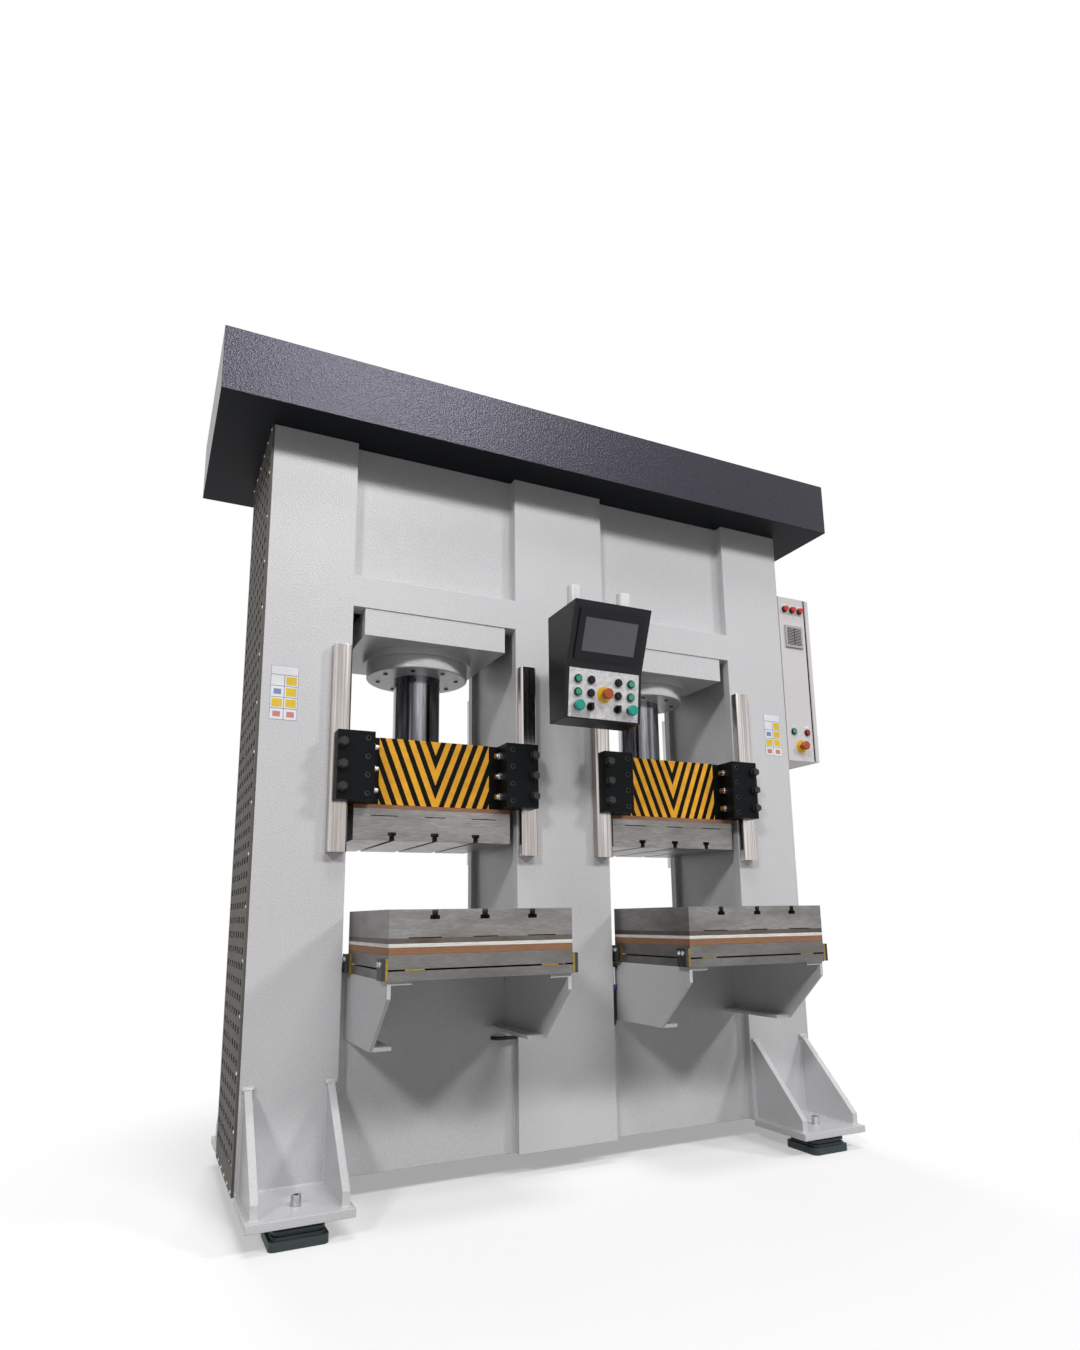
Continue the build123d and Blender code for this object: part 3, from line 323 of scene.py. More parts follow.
def worked_metal(name, code, stain_and_reflection, roughness, stretch, grain, spread=0.16, metallic=1.0, specular=0.5):
    """Ground, brushed or machined metal: streaks along its working direction, with faint stains; the chrome's
    streaks and dark patches are painted reflections, the rails' streaks partly painted highlights.
    """
    made, tree = material(name)
    place = add(tree, "ShaderNodeTexCoord", {}).outputs["Object"]
    scale = [1 / (grain * length) for length in stretch]
    drawn = add(tree, "ShaderNodeMapping", {"Vector": place, "Scale": scale}).outputs["Vector"]
    fine = {"Vector": drawn, "Scale": 1.0, "Detail": 4.0, "Roughness": 0.65}
    streak_and_reflection = add(tree, "ShaderNodeTexNoise", fine)
    wide = [1 / (STAIN_AND_REFLECTION * math.sqrt(length)) for length in stretch]
    spread_out = add(tree, "ShaderNodeMapping", {"Vector": place, "Scale": wide}).outputs["Vector"]
    coarse = {"Vector": spread_out, "Scale": 1.0, "Detail": 6.0, "Roughness": 0.68}
    stain_and_reflection_patch = add(tree, "ShaderNodeTexNoise", coarse)
    # Where the stains fall; on the chrome these dark patches are painted reflections.
    stops = zip(STAIN_AND_REFLECTION_TURNS, (BLACK, WHITE))
    spots = add(tree, "ShaderNodeValToRGB", {"Fac": stain_and_reflection_patch.outputs["Fac"]}, stops)
    # The streaks' light and dark tones: grinding marks, and on the rails partly and on the chrome wholly
    # painted highlights and reflections.
    stops = shades(TURNS, code, (1 - spread, 1 + spread))
    tone = add(tree, "ShaderNodeValToRGB", {"Fac": streak_and_reflection.outputs["Fac"]}, stops)
    colour = add(
        tree,
        "ShaderNodeMix",
        {0: spots.outputs["Color"], 6: tone.outputs["Color"], 7: linear(stain_and_reflection)},
        data_type="RGBA",
    )
    least, most = [roughness * share for share in SCRATCH_ROUGHNESS_SHARES]
    limits = {1: TURNS[0], 2: TURNS[1], 3: least, 4: most}
    gloss = add(tree, "ShaderNodeMapRange", {0: streak_and_reflection.outputs["Fac"], **limits})
    height = {"Height": streak_and_reflection.outputs["Fac"], "Strength": SCRATCH_LIFT, "Distance": SCRATCH_DEPTH}
    bump = add(tree, "ShaderNodeBump", height)
    shader = add(
        tree,
        "ShaderNodeBsdfPrincipled",
        {
            "Base Color": colour.outputs[2],
            "Metallic": metallic,
            "Roughness": gloss.outputs[0],
            "Specular IOR Level": specular,
            "Normal": bump.outputs["Normal"],
        },
    )
    add(tree, "ShaderNodeOutputMaterial", {"Surface": shader.outputs[0]})
    return made


def moulded(name, code, roughness, grain=0.0012, glow=0.0, specular=0.5):
    """Moulded plastic, rubber or vinyl: a smooth skin with a slight change of tone, or a lit lens."""
    made, tree = material(name)
    place = add(tree, "ShaderNodeTexCoord", {}).outputs["Object"]
    broad = {"Vector": place, "Scale": 1 / (grain * TONE_REACH), "Detail": 2.0}
    tone = add(tree, "ShaderNodeTexNoise", broad)
    stops = shades(TURNS, code, MOULD_TONES)
    colour = add(tree, "ShaderNodeValToRGB", {"Fac": tone.outputs["Fac"]}, stops)
    skin = add(tree, "ShaderNodeTexNoise", {"Vector": place, "Scale": 1 / grain, "Detail": 1.0})
    depth = grain * SKIN_DEPTH_SHARE
    height = {"Height": skin.outputs["Fac"], "Strength": MOULD_LIFT, "Distance": depth}
    bump = add(tree, "ShaderNodeBump", height)
    shader = add(
        tree,
        "ShaderNodeBsdfPrincipled",
        {
            "Base Color": colour.outputs["Color"],
            "Roughness": roughness,
            "Specular IOR Level": specular,
            "Normal": bump.outputs["Normal"],
            "Emission Color": linear(code),
            "Emission Strength": glow,
        },
    )
    add(tree, "ShaderNodeOutputMaterial", {"Surface": shader.outputs[0]})
    return made


def pressed_board(name, code, fibre):
    """Pressed insulating board: flat fibres in thin layers, matt."""
    made, tree = material(name)
    place = add(tree, "ShaderNodeTexCoord", {}).outputs["Object"]
    scale = (1 / FIBRE_LENGTH, 1 / FIBRE_LENGTH, 1 / fibre)
    layers = add(tree, "ShaderNodeMapping", {"Vector": place, "Scale": scale})
    fibres = add(
        tree,
        "ShaderNodeTexNoise",
        {"Vector": layers.outputs["Vector"], "Scale": 1.0, "Detail": 4.0, "Roughness": 0.6},
    )
    stops = shades(FIBRE_TURNS, code, FIBRE_TONES)
    colour = add(tree, "ShaderNodeValToRGB", {"Fac": fibres.outputs["Fac"]}, stops)
    height = {"Height": fibres.outputs["Fac"], "Strength": FIBRE_LIFT, "Distance": FIBRE_DEPTH}
    bump = add(tree, "ShaderNodeBump", height)
    shader = add(
        tree,
        "ShaderNodeBsdfPrincipled",
        {
            "Base Color": colour.outputs["Color"],
            "Roughness": FIBRE_ROUGHNESS,
            "Normal": bump.outputs["Normal"],
        },
    )
    add(tree, "ShaderNodeOutputMaterial", {"Surface": shader.outputs[0]})
    return made


def warning_stripes(name, yellow, black, pitch, centre):
    """Painted warning stripes: a V about the slide's middle, a little worn."""
    made, tree = material(name)
    place = add(tree, "ShaderNodeTexCoord", {}).outputs["Object"]
    moved = add(tree, "ShaderNodeMapping", {"Vector": place, "Location": (-centre, 0, 0)})
    parts = add(tree, "ShaderNodeSeparateXYZ", {"Vector": moved.outputs["Vector"]})
    out = add(tree, "ShaderNodeMath", {0: parts.outputs["X"]}, operation="ABSOLUTE")
    slope = add(tree, "ShaderNodeMath", {0: parts.outputs["Z"], 1: -STRIPE_LEAN}, operation="MULTIPLY")
    along = add(tree, "ShaderNodeMath", {0: out.outputs[0], 1: slope.outputs[0]}, operation="ADD")
    turns = add(tree, "ShaderNodeMath", {0: along.outputs[0], 1: 1 / pitch}, operation="MULTIPLY")
    share = add(tree, "ShaderNodeMath", {0: turns.outputs[0]}, operation="FRACT")
    edge = add(tree, "ShaderNodeMath", {0: share.outputs[0], 1: YELLOW_SHARE}, operation="LESS_THAN")
    wear = add(tree, "ShaderNodeTexNoise", {"Vector": place, "Scale": 1 / WEAR, "Detail": 4.0})
    stops = shades(WEAR_TURNS, yellow, WEAR_TONES)
    worn = add(tree, "ShaderNodeValToRGB", {"Fac": wear.outputs["Fac"]}, stops)
    colour = add(
        tree,
        "ShaderNodeMix",
        {0: edge.outputs[0], 6: linear(black), 7: worn.outputs["Color"]},
        data_type="RGBA",
    )
    shader = add(
        tree,
        "ShaderNodeBsdfPrincipled",
        {
            "Base Color": colour.outputs[2],
            "Roughness": STRIPE_ROUGHNESS,
            "Specular IOR Level": STRIPE_SPECULAR,
        },
    )
    add(tree, "ShaderNodeOutputMaterial", {"Surface": shader.outputs[0]})
    return made


# Every finish of the press, by the short name that the pieces use.
FINISHES = {}


def make_finishes(c, sizes):
    """Makes every finish of the press once, from its colours."""
    FINISHES.update(
        # Paint and powder coat: satin, with a skin that breaks up the light.
        frame_paint=textured_paint("structured_grey_paint", c.frame_paint, 0.006, 1.0, 0.26, 0.05),
        canopy_paint=textured_paint(
            "hammered_anthracite_paint", c.canopy_paint, 0.007, 1.0, 0.28, 0.4, 0.5, "#EDE8FF"
        ),
        canopy_under=textured_paint("smooth_anthracite_paint", "#1A1C21", 0.006, 0.05, 0.5, 0.06, 0.08),
        pendant_black=textured_paint("black_powder_coat", c.pendant_black, 0.004, 0.12, 0.36, 0.12, 0.3),
        cabinet_paint=textured_paint("pale_powder_coat", c.cabinet_paint, 0.006, 0.1, 0.42, 0.025),
        button_sheet=textured_paint("anodised_pale_sheet", c.button_sheet, 0.02, 0.02, 0.36, 0.14),
        tank_paint=textured_paint("tank_paint", "#8A939B", 0.008, 0.12, 0.45, 0.04),
        motor_paint=textured_paint("motor_casting_paint", "#46617A", 0.006, 0.3, 0.45, 0.08),
        # Metal: streaks of grinding and drawing that catch the light along one direction, with painted
        # reflections and highlights on the chrome and the rails.
        stainless=worked_metal(
            "brushed_stainless", c.stainless, "#595551", 0.7, (1, 1, 60), 0.004, 0.12, 0.4, 0.15
        ),
        # The rails' strong light and dark streaks are partly grinding marks and partly painted highlights and
        # reflections.
        rail_steel=worked_metal("ground_rail_steel", c.rail_steel, "#9E9793", 0.2, (1, 1, 120), 0.007, 0.4),
        # The chrome's strong light and dark streaks and its near-black patches are painted reflections.
        chrome=worked_metal("hard_chrome", c.rod_chrome, "#1A1A1B", 0.14, (1, 1, 80), 0.03, 0.8),
        platen_steel=worked_metal(
            "ground_tool_steel", c.platen_steel, c.platen_stain, 0.4, (14, 14, 1), 0.0025, 0.26
        ),
        bed_steel=worked_metal("milled_bed_steel", c.bed_steel, "#65625F", 0.42, (12, 12, 1), 0.0025, 0.22),
        keeper_steel=worked_metal("blued_keeper_steel", c.keeper_steel, "#403E3C", 0.44, (2, 2, 1), 0.004),
        heater_steel=worked_metal("scaled_heater_steel", "#6B635E", "#544C46", 0.55, (4, 4, 1), 0.003, 0.2),
        zinc=worked_metal("zinc_plated_steel", "#D6D7DA", "#B5B6B8", 0.3, (1, 1, 1), 0.004),
        yellow_zinc=worked_metal("yellow_zinc_plate", "#AE8A58", "#927046", 0.4, (1, 1, 1), 0.004),
        pipe_steel=worked_metal("drawn_pipe_steel", "#A9A7A2", "#8A847A", 0.3, (20, 20, 20), 0.004),
        brass=worked_metal("brass", c.brass, "#7D6935", 0.42, (6, 6, 1), 0.004),
        black_oxide=worked_metal(
            "blackened_steel", c.black_oxide, "#0B0D0E", 0.48, (2, 2, 2), 0.006, 0.2, 0.0, 0.1
        ),
        bolt_black=worked_metal(
            "blackened_bolt", "#121416", "#0C0D0E", 0.32, (1, 1, 1), 0.004, 0.2, 0.0, 0.5
        ),
        # Board: matt, with flat fibres along its edge.
        brown_board=pressed_board("phenolic_board", c.brown_board, 0.004),
        white_board=pressed_board("calcium_silicate_board", c.white_board, 0.004),
        # Rubber, plastic and vinyl: smooth and even, glossier on caps and glass.
        mount_rubber=moulded("moulded_rubber", c.mount_rubber, 0.5, 0.003),
        hose_rubber=moulded("hose_rubber", "#101113", 0.48, specular=0.3),
        trim_black=moulded("black_trim", "#0E0F11", 0.4, specular=0.25),
        tube_white=moulded("milky_tube", "#E2DFE1", 0.22, 0.01),
        screen_bezel=moulded("screen_bezel_abs", "#101216", 0.4, specular=0.25),
        screen_glass=moulded("screen_glass", "#56555A", 0.14, 0.02),
        button_green=moulded("button_green_abs", "#2F9A70", 0.26),
        button_teal=moulded("button_teal_abs", "#1B9484", 0.34),
        button_black=moulded("button_black_abs", "#0C0C0E", 0.24, specular=0.3),
        button_red=moulded("button_red_abs", "#9C2126", 0.28),
        stop_red=moulded("stop_red_abs", "#A84717", 0.28),
        stop_yellow=moulded("stop_yellow_abs", "#DDB41E", 0.4),
        lamp_red=moulded("lamp_red_lens", "#B8241A", 0.22, glow=0.12),
        collar_blue=moulded("collar_blue_nylon", "#26366E", 0.4),
        grille_grey=moulded("grille_grey_abs", "#A9A7AA", 0.45),
        switch_grey=moulded("switchgear_grey", "#7F868C", 0.5),
        label_white=moulded("label_white_vinyl", "#DEDEE0", 0.4, 0.01),
        label_yellow=moulded("label_yellow_vinyl", "#D8B62C", 0.42, 0.01),
        label_blue=moulded("label_blue_vinyl", "#7783A8", 0.45, 0.01),
        label_red=moulded("label_red_vinyl", "#C07A72", 0.45, 0.01),
        stripe_left=warning_stripes(
            "stripes_left", c.stripe_yellow, c.stripe_black, sizes.stripe_pitch, station_x("left")
        ),
        stripe_right=warning_stripes(
            "stripes_right", c.stripe_yellow, c.stripe_black, sizes.stripe_pitch, station_x("right")
        ),
    )


def station_x(side):
    """The middle of a station across the press."""
    low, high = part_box(side + "_slide")
    return (low.x + high.x) / 2


def points(node):
    """The places of a solid's corners."""
    return [vertex.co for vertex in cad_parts[node].data.vertices]


def corners(node, axis, floor=-math.inf):
    """The places of a solid's corners along an axis, above a height."""
    return sorted({round(spot[axis], DECIMALS) for spot in points(node) if spot.z > floor})


def facing(node):
    """A slanted front panel's place: across, into the panel and up it, from its front middle."""
    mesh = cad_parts[node].data
    fronts = [face for face in mesh.polygons if face.normal.dot(FORWARD) > FRONT_LEAN]
    front = max(fronts, key=lambda face: face.area)
    normal = front.normal.copy()
    up = (UP - normal * UP.dot(normal)).normalized()
    rise = [v.co.dot(up) for v in mesh.vertices]
    middle = up * (min(rise) + max(rise)) / 2 + normal * front.center.dot(normal)
    turn = Matrix((ACROSS, -normal, up)).transposed().to_4x4()
    return Matrix.Translation(middle) @ turn, max(rise) - min(rise)


def dress(node, finish, edge=0.0):
    """Gives a solid its finish, and rounds its sharp edges a little."""
    paint(node, lambda spot: finish, edge)


def paint(node, rule, edge=0.0):
    """Gives each face of a solid the finish that a rule picks by the face's middle, and rounds its edges."""
    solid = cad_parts[node]
    mesh = solid.data
    picked = [rule(face.center) for face in mesh.polygons]
    names = sorted(set(picked))
    mesh.materials.clear()
    for name in names:
        mesh.materials.append(FINISHES[name])
    mesh.polygons.foreach_set("material_index", [names.index(name) for name in picked])
    if edge > 0:
        mesh.polygons.foreach_set("use_smooth", [True] * len(mesh.polygons))
        solid.modifiers.new("Weld", "WELD").merge_threshold = MERGE
        rounding = solid.modifiers.new("Edges", "BEVEL")
        rounding.width = edge
        rounding.segments = EDGE_STEPS
        rounding.limit_method = "ANGLE"
        rounding.angle_limit = SHARP
        even_shading(solid, False)


def even_shading(made, keep_sharp):
    """Keeps an object's large faces flat in the light, and lets its rounded edges turn between them."""
    normals = made.modifiers.new("Normals", "WEIGHTED_NORMAL")
    normals.weight = FACE_LEAD
    normals.keep_sharp = keep_sharp


def piece(name, bm, body, finish, replaces=()):
    """Turns a bmesh into a finished piece that moves with a body."""
    bmesh.ops.recalc_face_normals(bm, faces=bm.faces[:])
    mesh = bpy.data.meshes.new(name)
    bm.to_mesh(mesh)
    bm.free()
    mesh.polygons.foreach_set("use_smooth", [True] * len(mesh.polygons))
    mesh.set_sharp_from_angle(angle=SHARP)
    mesh.materials.append(FINISHES[finish])
    made = bpy.data.objects.new(name, mesh)
    bpy.context.scene.collection.objects.link(made)
    even_shading(made, True)
    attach(made, body)
    if replaces:
        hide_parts(*replaces)


def join(bm, part, place):
    """Moves a finished part into place and adds it to a piece."""
    bmesh.ops.transform(part, matrix=place, verts=part.verts[:])
    mesh = bpy.data.meshes.new("part")
    part.to_mesh(mesh)
    part.free()
    bm.from_mesh(mesh)
    bpy.data.meshes.remove(mesh)


def soften(part, width):
    """Rounds the edges of a part."""
    bmesh.ops.bevel(
        part,
        geom=part.edges[:],
        offset=width,
        segments=EDGE_STEPS,
        profile=0.5,
        affect="EDGES",
        material=-1,
    )


def block(bm, low, high, edge=0.0, place=Matrix()):
    """A block between two corners, with its edges rounded."""
    low, high = Vector(low), Vector(high)
    part = bmesh.new()
    bmesh.ops.create_cube(part, size=1.0)
    bmesh.ops.scale(part, verts=part.verts[:], vec=high - low)
    bmesh.ops.translate(part, verts=part.verts[:], vec=(low + high) / 2)
    if edge > 0:
        soften(part, edge)
    join(bm, part, place)


def prism(bm, outline, front, back, edge):
    """A bar of one outline of (across, up), from its front to its back, with its edges rounded."""
    part = bmesh.new()
    face = part.faces.new([part.verts.new((x, front, z)) for x, z in outline])
    grown = bmesh.ops.extrude_face_region(part, geom=[face])["geom"]
    moved = [item for item in grown if isinstance(item, bmesh.types.BMVert)]
    bmesh.ops.translate(part, verts=moved, vec=(0, back - front, 0))
    bmesh.ops.recalc_face_normals(part, faces=part.faces[:])
    soften(part, edge)
    join(bm, part, Matrix())


def stand(base, direction):
    """The place that brings +Z onto a direction, at a base."""
    return Matrix.Translation(Vector(base)) @ UP.rotation_difference(Vector(direction)).to_matrix().to_4x4()


def rod(bm, start, end, radius, steps, end_radius=None):
    """A closed cylinder, cone or regular bar from one point to another."""
    start, end = Vector(start), Vector(end)
    part = bmesh.new()
    bmesh.ops.create_cone(
        part,
        cap_ends=True,
        cap_tris=False,
        segments=steps,
        radius1=radius,
        radius2=radius if end_radius is None else end_radius,
        depth=(end - start).length,
    )
    join(bm, part, stand((start + end) / 2, end - start))


def turned(bm, outline, base, direction, steps, ring=False):
    """A closed turned shape: an outline of (radius, height) spun about an axis, or a ring where it closes."""
    part = bmesh.new()
    made = [part.verts.new((radius, 0, height)) for radius, height in outline]
    ends = made[1:] + made[:1] if ring else made[1:]
    edges = [part.edges.new(pair) for pair in zip(made, ends)]
    bmesh.ops.spin(
        part,
        geom=made + edges,
        axis=UP,
        cent=(0, 0, 0),
        dvec=(0, 0, 0),
        angle=math.tau,
        steps=steps,
        use_merge=True,
    )
    bmesh.ops.remove_doubles(part, verts=part.verts[:], dist=MERGE)
    bmesh.ops.recalc_face_normals(part, faces=part.faces[:])
    join(bm, part, stand(base, direction))


def hexagon(bm, base, direction, flats, height):
    """A hexagon nut or head, measured across its flats, with its far rim chamfered."""
    base, along = Vector(base), Vector(direction).normalized()
    corner, rim = flats / math.sqrt(3), flats * NUT_RIM_SHARE
    shoulder = base + along * (height - rim)
    rod(bm, base, shoulder, corner, NUT_SIDES)
    rod(bm, shoulder, base + along * height, corner, NUT_SIDES, corner - rim)


def socket_screw(bm, base, direction, head, height, steps):
    """A socket-head screw: a round head with a chamfered rim and a sunk socket."""
    out, socket, rim = head / 2, head * SOCKET_SHARE, head * RIM_SHARE
    floor = height * SOCKET_FLOOR_SHARE
    outline = (
        (0, 0),
        (out, 0),
        (out, height - rim),
        (out - rim, height),
        (socket, height),
        (socket, floor),
        (0, floor),
    )
    turned(bm, outline, base, direction, steps)


def pan_screw(bm, base, direction, head, steps):
    """A low domed screw head."""
    out = head / 2
    outline = [(out * radius, out * height) for radius, height in PAN_SHARES]
    turned(bm, outline, base, direction, steps)


def tag(bm, middle, sizes, place=Matrix()):
    """A blank tag for a control, on a panel's front."""
    reach = Vector((sizes.tag_width / 2, 0, sizes.tag_height / 2))
    block(bm, middle - reach + FORWARD * sizes.skin, middle + reach, 0.0, place)


def bead(bm, start, end, leg, step):
    """A weld bead: a round bar along a seam, rippled step by step and a little uneven."""
    start, end = Vector(start), Vector(end)
    length = (end - start).length
    ripples = max(2, int(length / step))
    part = bmesh.new()
    bmesh.ops.create_cone(
        part, cap_ends=True, cap_tris=False, segments=BEAD_SIDES, radius1=leg, radius2=leg, depth=length
    )
    sides = [e for e in part.edges if abs(e.verts[0].co.z - e.verts[1].co.z) > length / 2]
    bmesh.ops.subdivide_edges(part, edges=sides, cuts=2 * ripples - 1, use_grid_fill=True)
    for vertex in part.verts:
        turn = (vertex.co.z / length + 0.5) * ripples
        sway = sum(share * math.sin(turn * rate) for share, rate in BEAD_SWAY_SHARES)
        swell = BEAD_THIN_SHARE + BEAD_SWELL_SHARE * abs(math.sin(math.pi * turn)) + sway
        vertex.co.x *= swell
        vertex.co.y *= swell
    join(bm, part, stand((start + end) / 2, end - start))


class PRESS_OT_frame(bpy.types.Operator):
    """Paints the frame, the beams, the feet and the brackets, and lays their welds"""

    bl_idname = "press.frame"
    bl_label = "Frame and welds"

    # Radius of a bead as a share of the common one: in the recesses, on gusset tops, down the brackets.
    RECESS_SHARE, CREST_SHARE, BRACKET_SHARE = 0.7, 1.7, 0.8
    # The screws under a gland: their count, and their circle's radius as a share of the gland's width.
    GLAND_SCREWS, CIRCLE_SHARE = 8, 0.39

    def execute(self, context):
        sizes = context.scene.press_sizes
        for node in ("frame_plates", "column_webs", "beam_panels", "feet", "table_brackets"):
            dress(node, "frame_paint", sizes.edge)
        for node in ("cylinder_blocks", "cylinder_barrels", "rod_glands"):
            dress(node, "frame_paint", sizes.edge)
        dress("bed_plates", "bed_steel", sizes.fine_edge)
        dress("guide_rails", "rail_steel", sizes.fine_edge)
        bm = bmesh.new()
        self.beam_seams(bm, sizes)
        self.foot_seams(bm, sizes)
        self.bracket_seams(bm, sizes)
        piece("weld_beads", bm, "frame", "frame_paint")
        self.gland_screws(sizes)
        return {"FINISHED"}

    def beam_seams(self, bm, sizes):
        """The beads where the beam panels meet the columns and the bridges, front and rear."""
        edges = corners("frame_plates", 0)[1:-1]
        bottom, _, bridge, top = corners("frame_plates", 2)
        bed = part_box("bed_plates")[0].z
        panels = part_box("beam_panels")
        thin = sizes.weld_leg * self.RECESS_SHARE
        for y in (panels[0].y, panels[1].y):
            for x in edges:
                bead(bm, (x, y, bottom), (x, y, bed), sizes.weld_leg, sizes.weld_step)
                bead(bm, (x, y, bridge), (x, y, top), thin, sizes.weld_step)
            for left, right in zip(edges[::2], edges[1::2]):
                bead(bm, (left, y, bridge), (right, y, bridge), thin, sizes.weld_step)

    def foot_seams(self, bm, sizes):
        """The beads round the gussets of the feet, with a thick cap on each gusset's top."""
        plates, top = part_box("frame_plates"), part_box("feet")[1].z
        leg, step = sizes.weld_leg, sizes.weld_step
        base = corners("feet", 2)[1]
        gussets = corners("feet", 0, top - leg)
        noses = corners("feet", 1, base + leg)
        edges = corners("frame_plates", 0)
        for face, nose, out in ((plates[0].y, noses[0], -1), (plates[1].y, noses[-1], 1)):
            for left, right in zip(gussets[::2], gussets[1::2]):
                for x in (left, right):
                    bead(bm, (x, face, base), (x, face, top), leg, step)
                    bead(bm, (x, face, base), (x, nose, base), leg, step)
                crest = face + out * leg
                bead(bm, (left - leg, crest, top), (right + leg, crest, top), leg * self.CREST_SHARE, step)
            for left, right in (edges[:2], edges[-2:]):
                bead(bm, (left, face, base), (right, face, base), leg, step)

    def bracket_seams(self, bm, sizes):
        """The beads down the outer side of each bracket, where it meets the beam."""
        low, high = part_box("table_brackets")
        places = corners("table_brackets", 0)
        middle = len(places) // 2
        leg = sizes.weld_leg * self.BRACKET_SHARE
        for x in (places[0], places[middle - 1], places[middle], places[-1]):
            bead(bm, (x, high.y, low.z), (x, high.y, high.z), leg, sizes.weld_step)

    def gland_screws(self, sizes):
        """A ring of screws under each rod gland."""
        bm = bmesh.new()
        low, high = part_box("rod_glands")
        radius = (high.y - low.y) * self.CIRCLE_SHARE
        head, height = sizes.gland_head, sizes.low_head
        for side in STATIONS:
            for number in range(self.GLAND_SCREWS):
                turn = math.tau * (number + 0.5) / self.GLAND_SCREWS
                x = station_x(side) + radius * math.cos(turn)
                y = (low.y + high.y) / 2 + radius * math.sin(turn)
                socket_screw(bm, (x, y, low.z), -UP, head, height, sizes.round_steps)
        piece("gland_screws", bm, "frame", "bolt_black")


class PRESS_OT_canopy(bpy.types.Operator):
    """Paints the canopy, hammered outside and smooth beneath"""

    bl_idname = "press.canopy"
    bl_label = "Canopy"

    def execute(self, context):
        edge = context.scene.press_sizes.edge
        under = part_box("canopy")[0].z + edge
        paint("canopy", lambda spot: "canopy_under" if spot.z < under else "canopy_paint", edge)
        return {"FINISHED"}


class PRESS_OT_side_panels(bpy.types.Operator):
    """Finishes the slotted stainless panel and the painted plain one, and sets their screws"""

    bl_idname = "press.side_panels"
    bl_label = "Side panels"

    # A screw's distance from the rim as a share of its head, and the closer pitch along the ends.
    INSET_SHARE, END_PITCH_SHARE = 1.3, 0.55

    def execute(self, context):
        sizes = context.scene.press_sizes
        paint("side_panels", lambda spot: "stainless" if spot.x < 0 else "frame_paint")
        low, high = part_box("side_panels")
        inset = sizes.panel_head * self.INSET_SHARE
        rows = int((high.z - low.z - 2 * inset) / sizes.panel_pitch)
        columns = int((high.y - low.y - 2 * inset) / (sizes.panel_pitch * self.END_PITCH_SHARE))
        spots = set()
        for number in range(rows + 1):
            z = low.z + inset + (high.z - low.z - 2 * inset) * number / rows
            spots |= {(low.y + inset, z), (high.y - inset, z)}
        for number in range(1, columns):
            y = low.y + inset + (high.y - low.y - 2 * inset) * number / columns
            spots |= {(y, low.z + inset), (y, high.z - inset)}
        bm = bmesh.new()
        for x, out in ((low.x, -1), (high.x, 1)):
            for y, z in sorted(spots):
                pan_screw(bm, (x, y, z), (out, 0, 0), sizes.panel_head, sizes.round_steps)
        piece("panel_screws", bm, "frame", "zinc")
        return {"FINISHED"}


class PRESS_OT_labels(bpy.types.Operator):
    """Sets the blank label sheets on the outer columns"""

    bl_idname = "press.labels"
    bl_label = "Blank labels"

    # Each label's left edge and foot on the front of the columns, then its sizes and lines, in metres.
    PLACES = ((-1.129, 1.595), (1.038, 1.622))
    WIDTH, HEIGHT, HEAD, LINE = 0.0925, 0.193, 0.033, 0.0012
    # How far the white and the colours stand out from the column, in thicknesses of the sheet.
    WHITE_LAYERS, COLOUR_LAYERS = 1.5, 2
    # The rows of plain fields of colour, and the white left round a field as a share of its cell.
    FIELDS = (("", "yellow"), ("blue", "yellow"), ("yellow", "yellow"), ("red", "red"))
    MARGIN_SHARES = {"yellow": 0.14, "blue": 0.26, "red": 0.26}

    def execute(self, context):
        skin = context.scene.press_sizes.skin
        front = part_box("frame_plates")[0].y
        sheets = {name: bmesh.new() for name in ("blue", "white", "yellow", "red")}
        line = self.LINE
        white, colours = front - self.WHITE_LAYERS * skin, front - self.COLOUR_LAYERS * skin
        for left, foot in self.PLACES:
            right, top = left + self.WIDTH, foot + self.HEIGHT
            block(sheets["blue"], (left, front - skin, foot), (right, front, top))
            field = (left + line, white, top - self.HEAD + line)
            block(sheets["white"], field, (right - line, front, top - line))
            cell = (self.HEIGHT - self.HEAD) / len(self.FIELDS)
            for row, pair in enumerate(self.FIELDS):
                low = top - self.HEAD - (row + 1) * cell
                for column, colour in enumerate(pair):
                    start = left + column * self.WIDTH / 2
                    end = start + self.WIDTH / 2
                    field = (start + line, white, low + line)
                    block(sheets["white"], field, (end - line, front, low + cell - line))
                    if colour:
                        gap = cell * self.MARGIN_SHARES[colour]
                        field = (start + gap, colours, low + gap)
                        block(sheets[colour], field, (end - gap, front, low + cell - gap))
        for name, bm in sheets.items():
            piece("label_" + name, bm, "frame", "label_" + name)
        return {"FINISHED"}


class PRESS_OT_mounts(bpy.types.Operator):
    """Finishes the machine mounts and their levelling screws"""

    bl_idname = "press.mounts"
    bl_label = "Machine mounts"

    def execute(self, context):
        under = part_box("feet")[0].z
        edge = context.scene.press_sizes.fine_edge
        paint("machine_mounts", lambda spot: "zinc" if spot.z > under else "mount_rubber", edge)
        return {"FINISHED"}


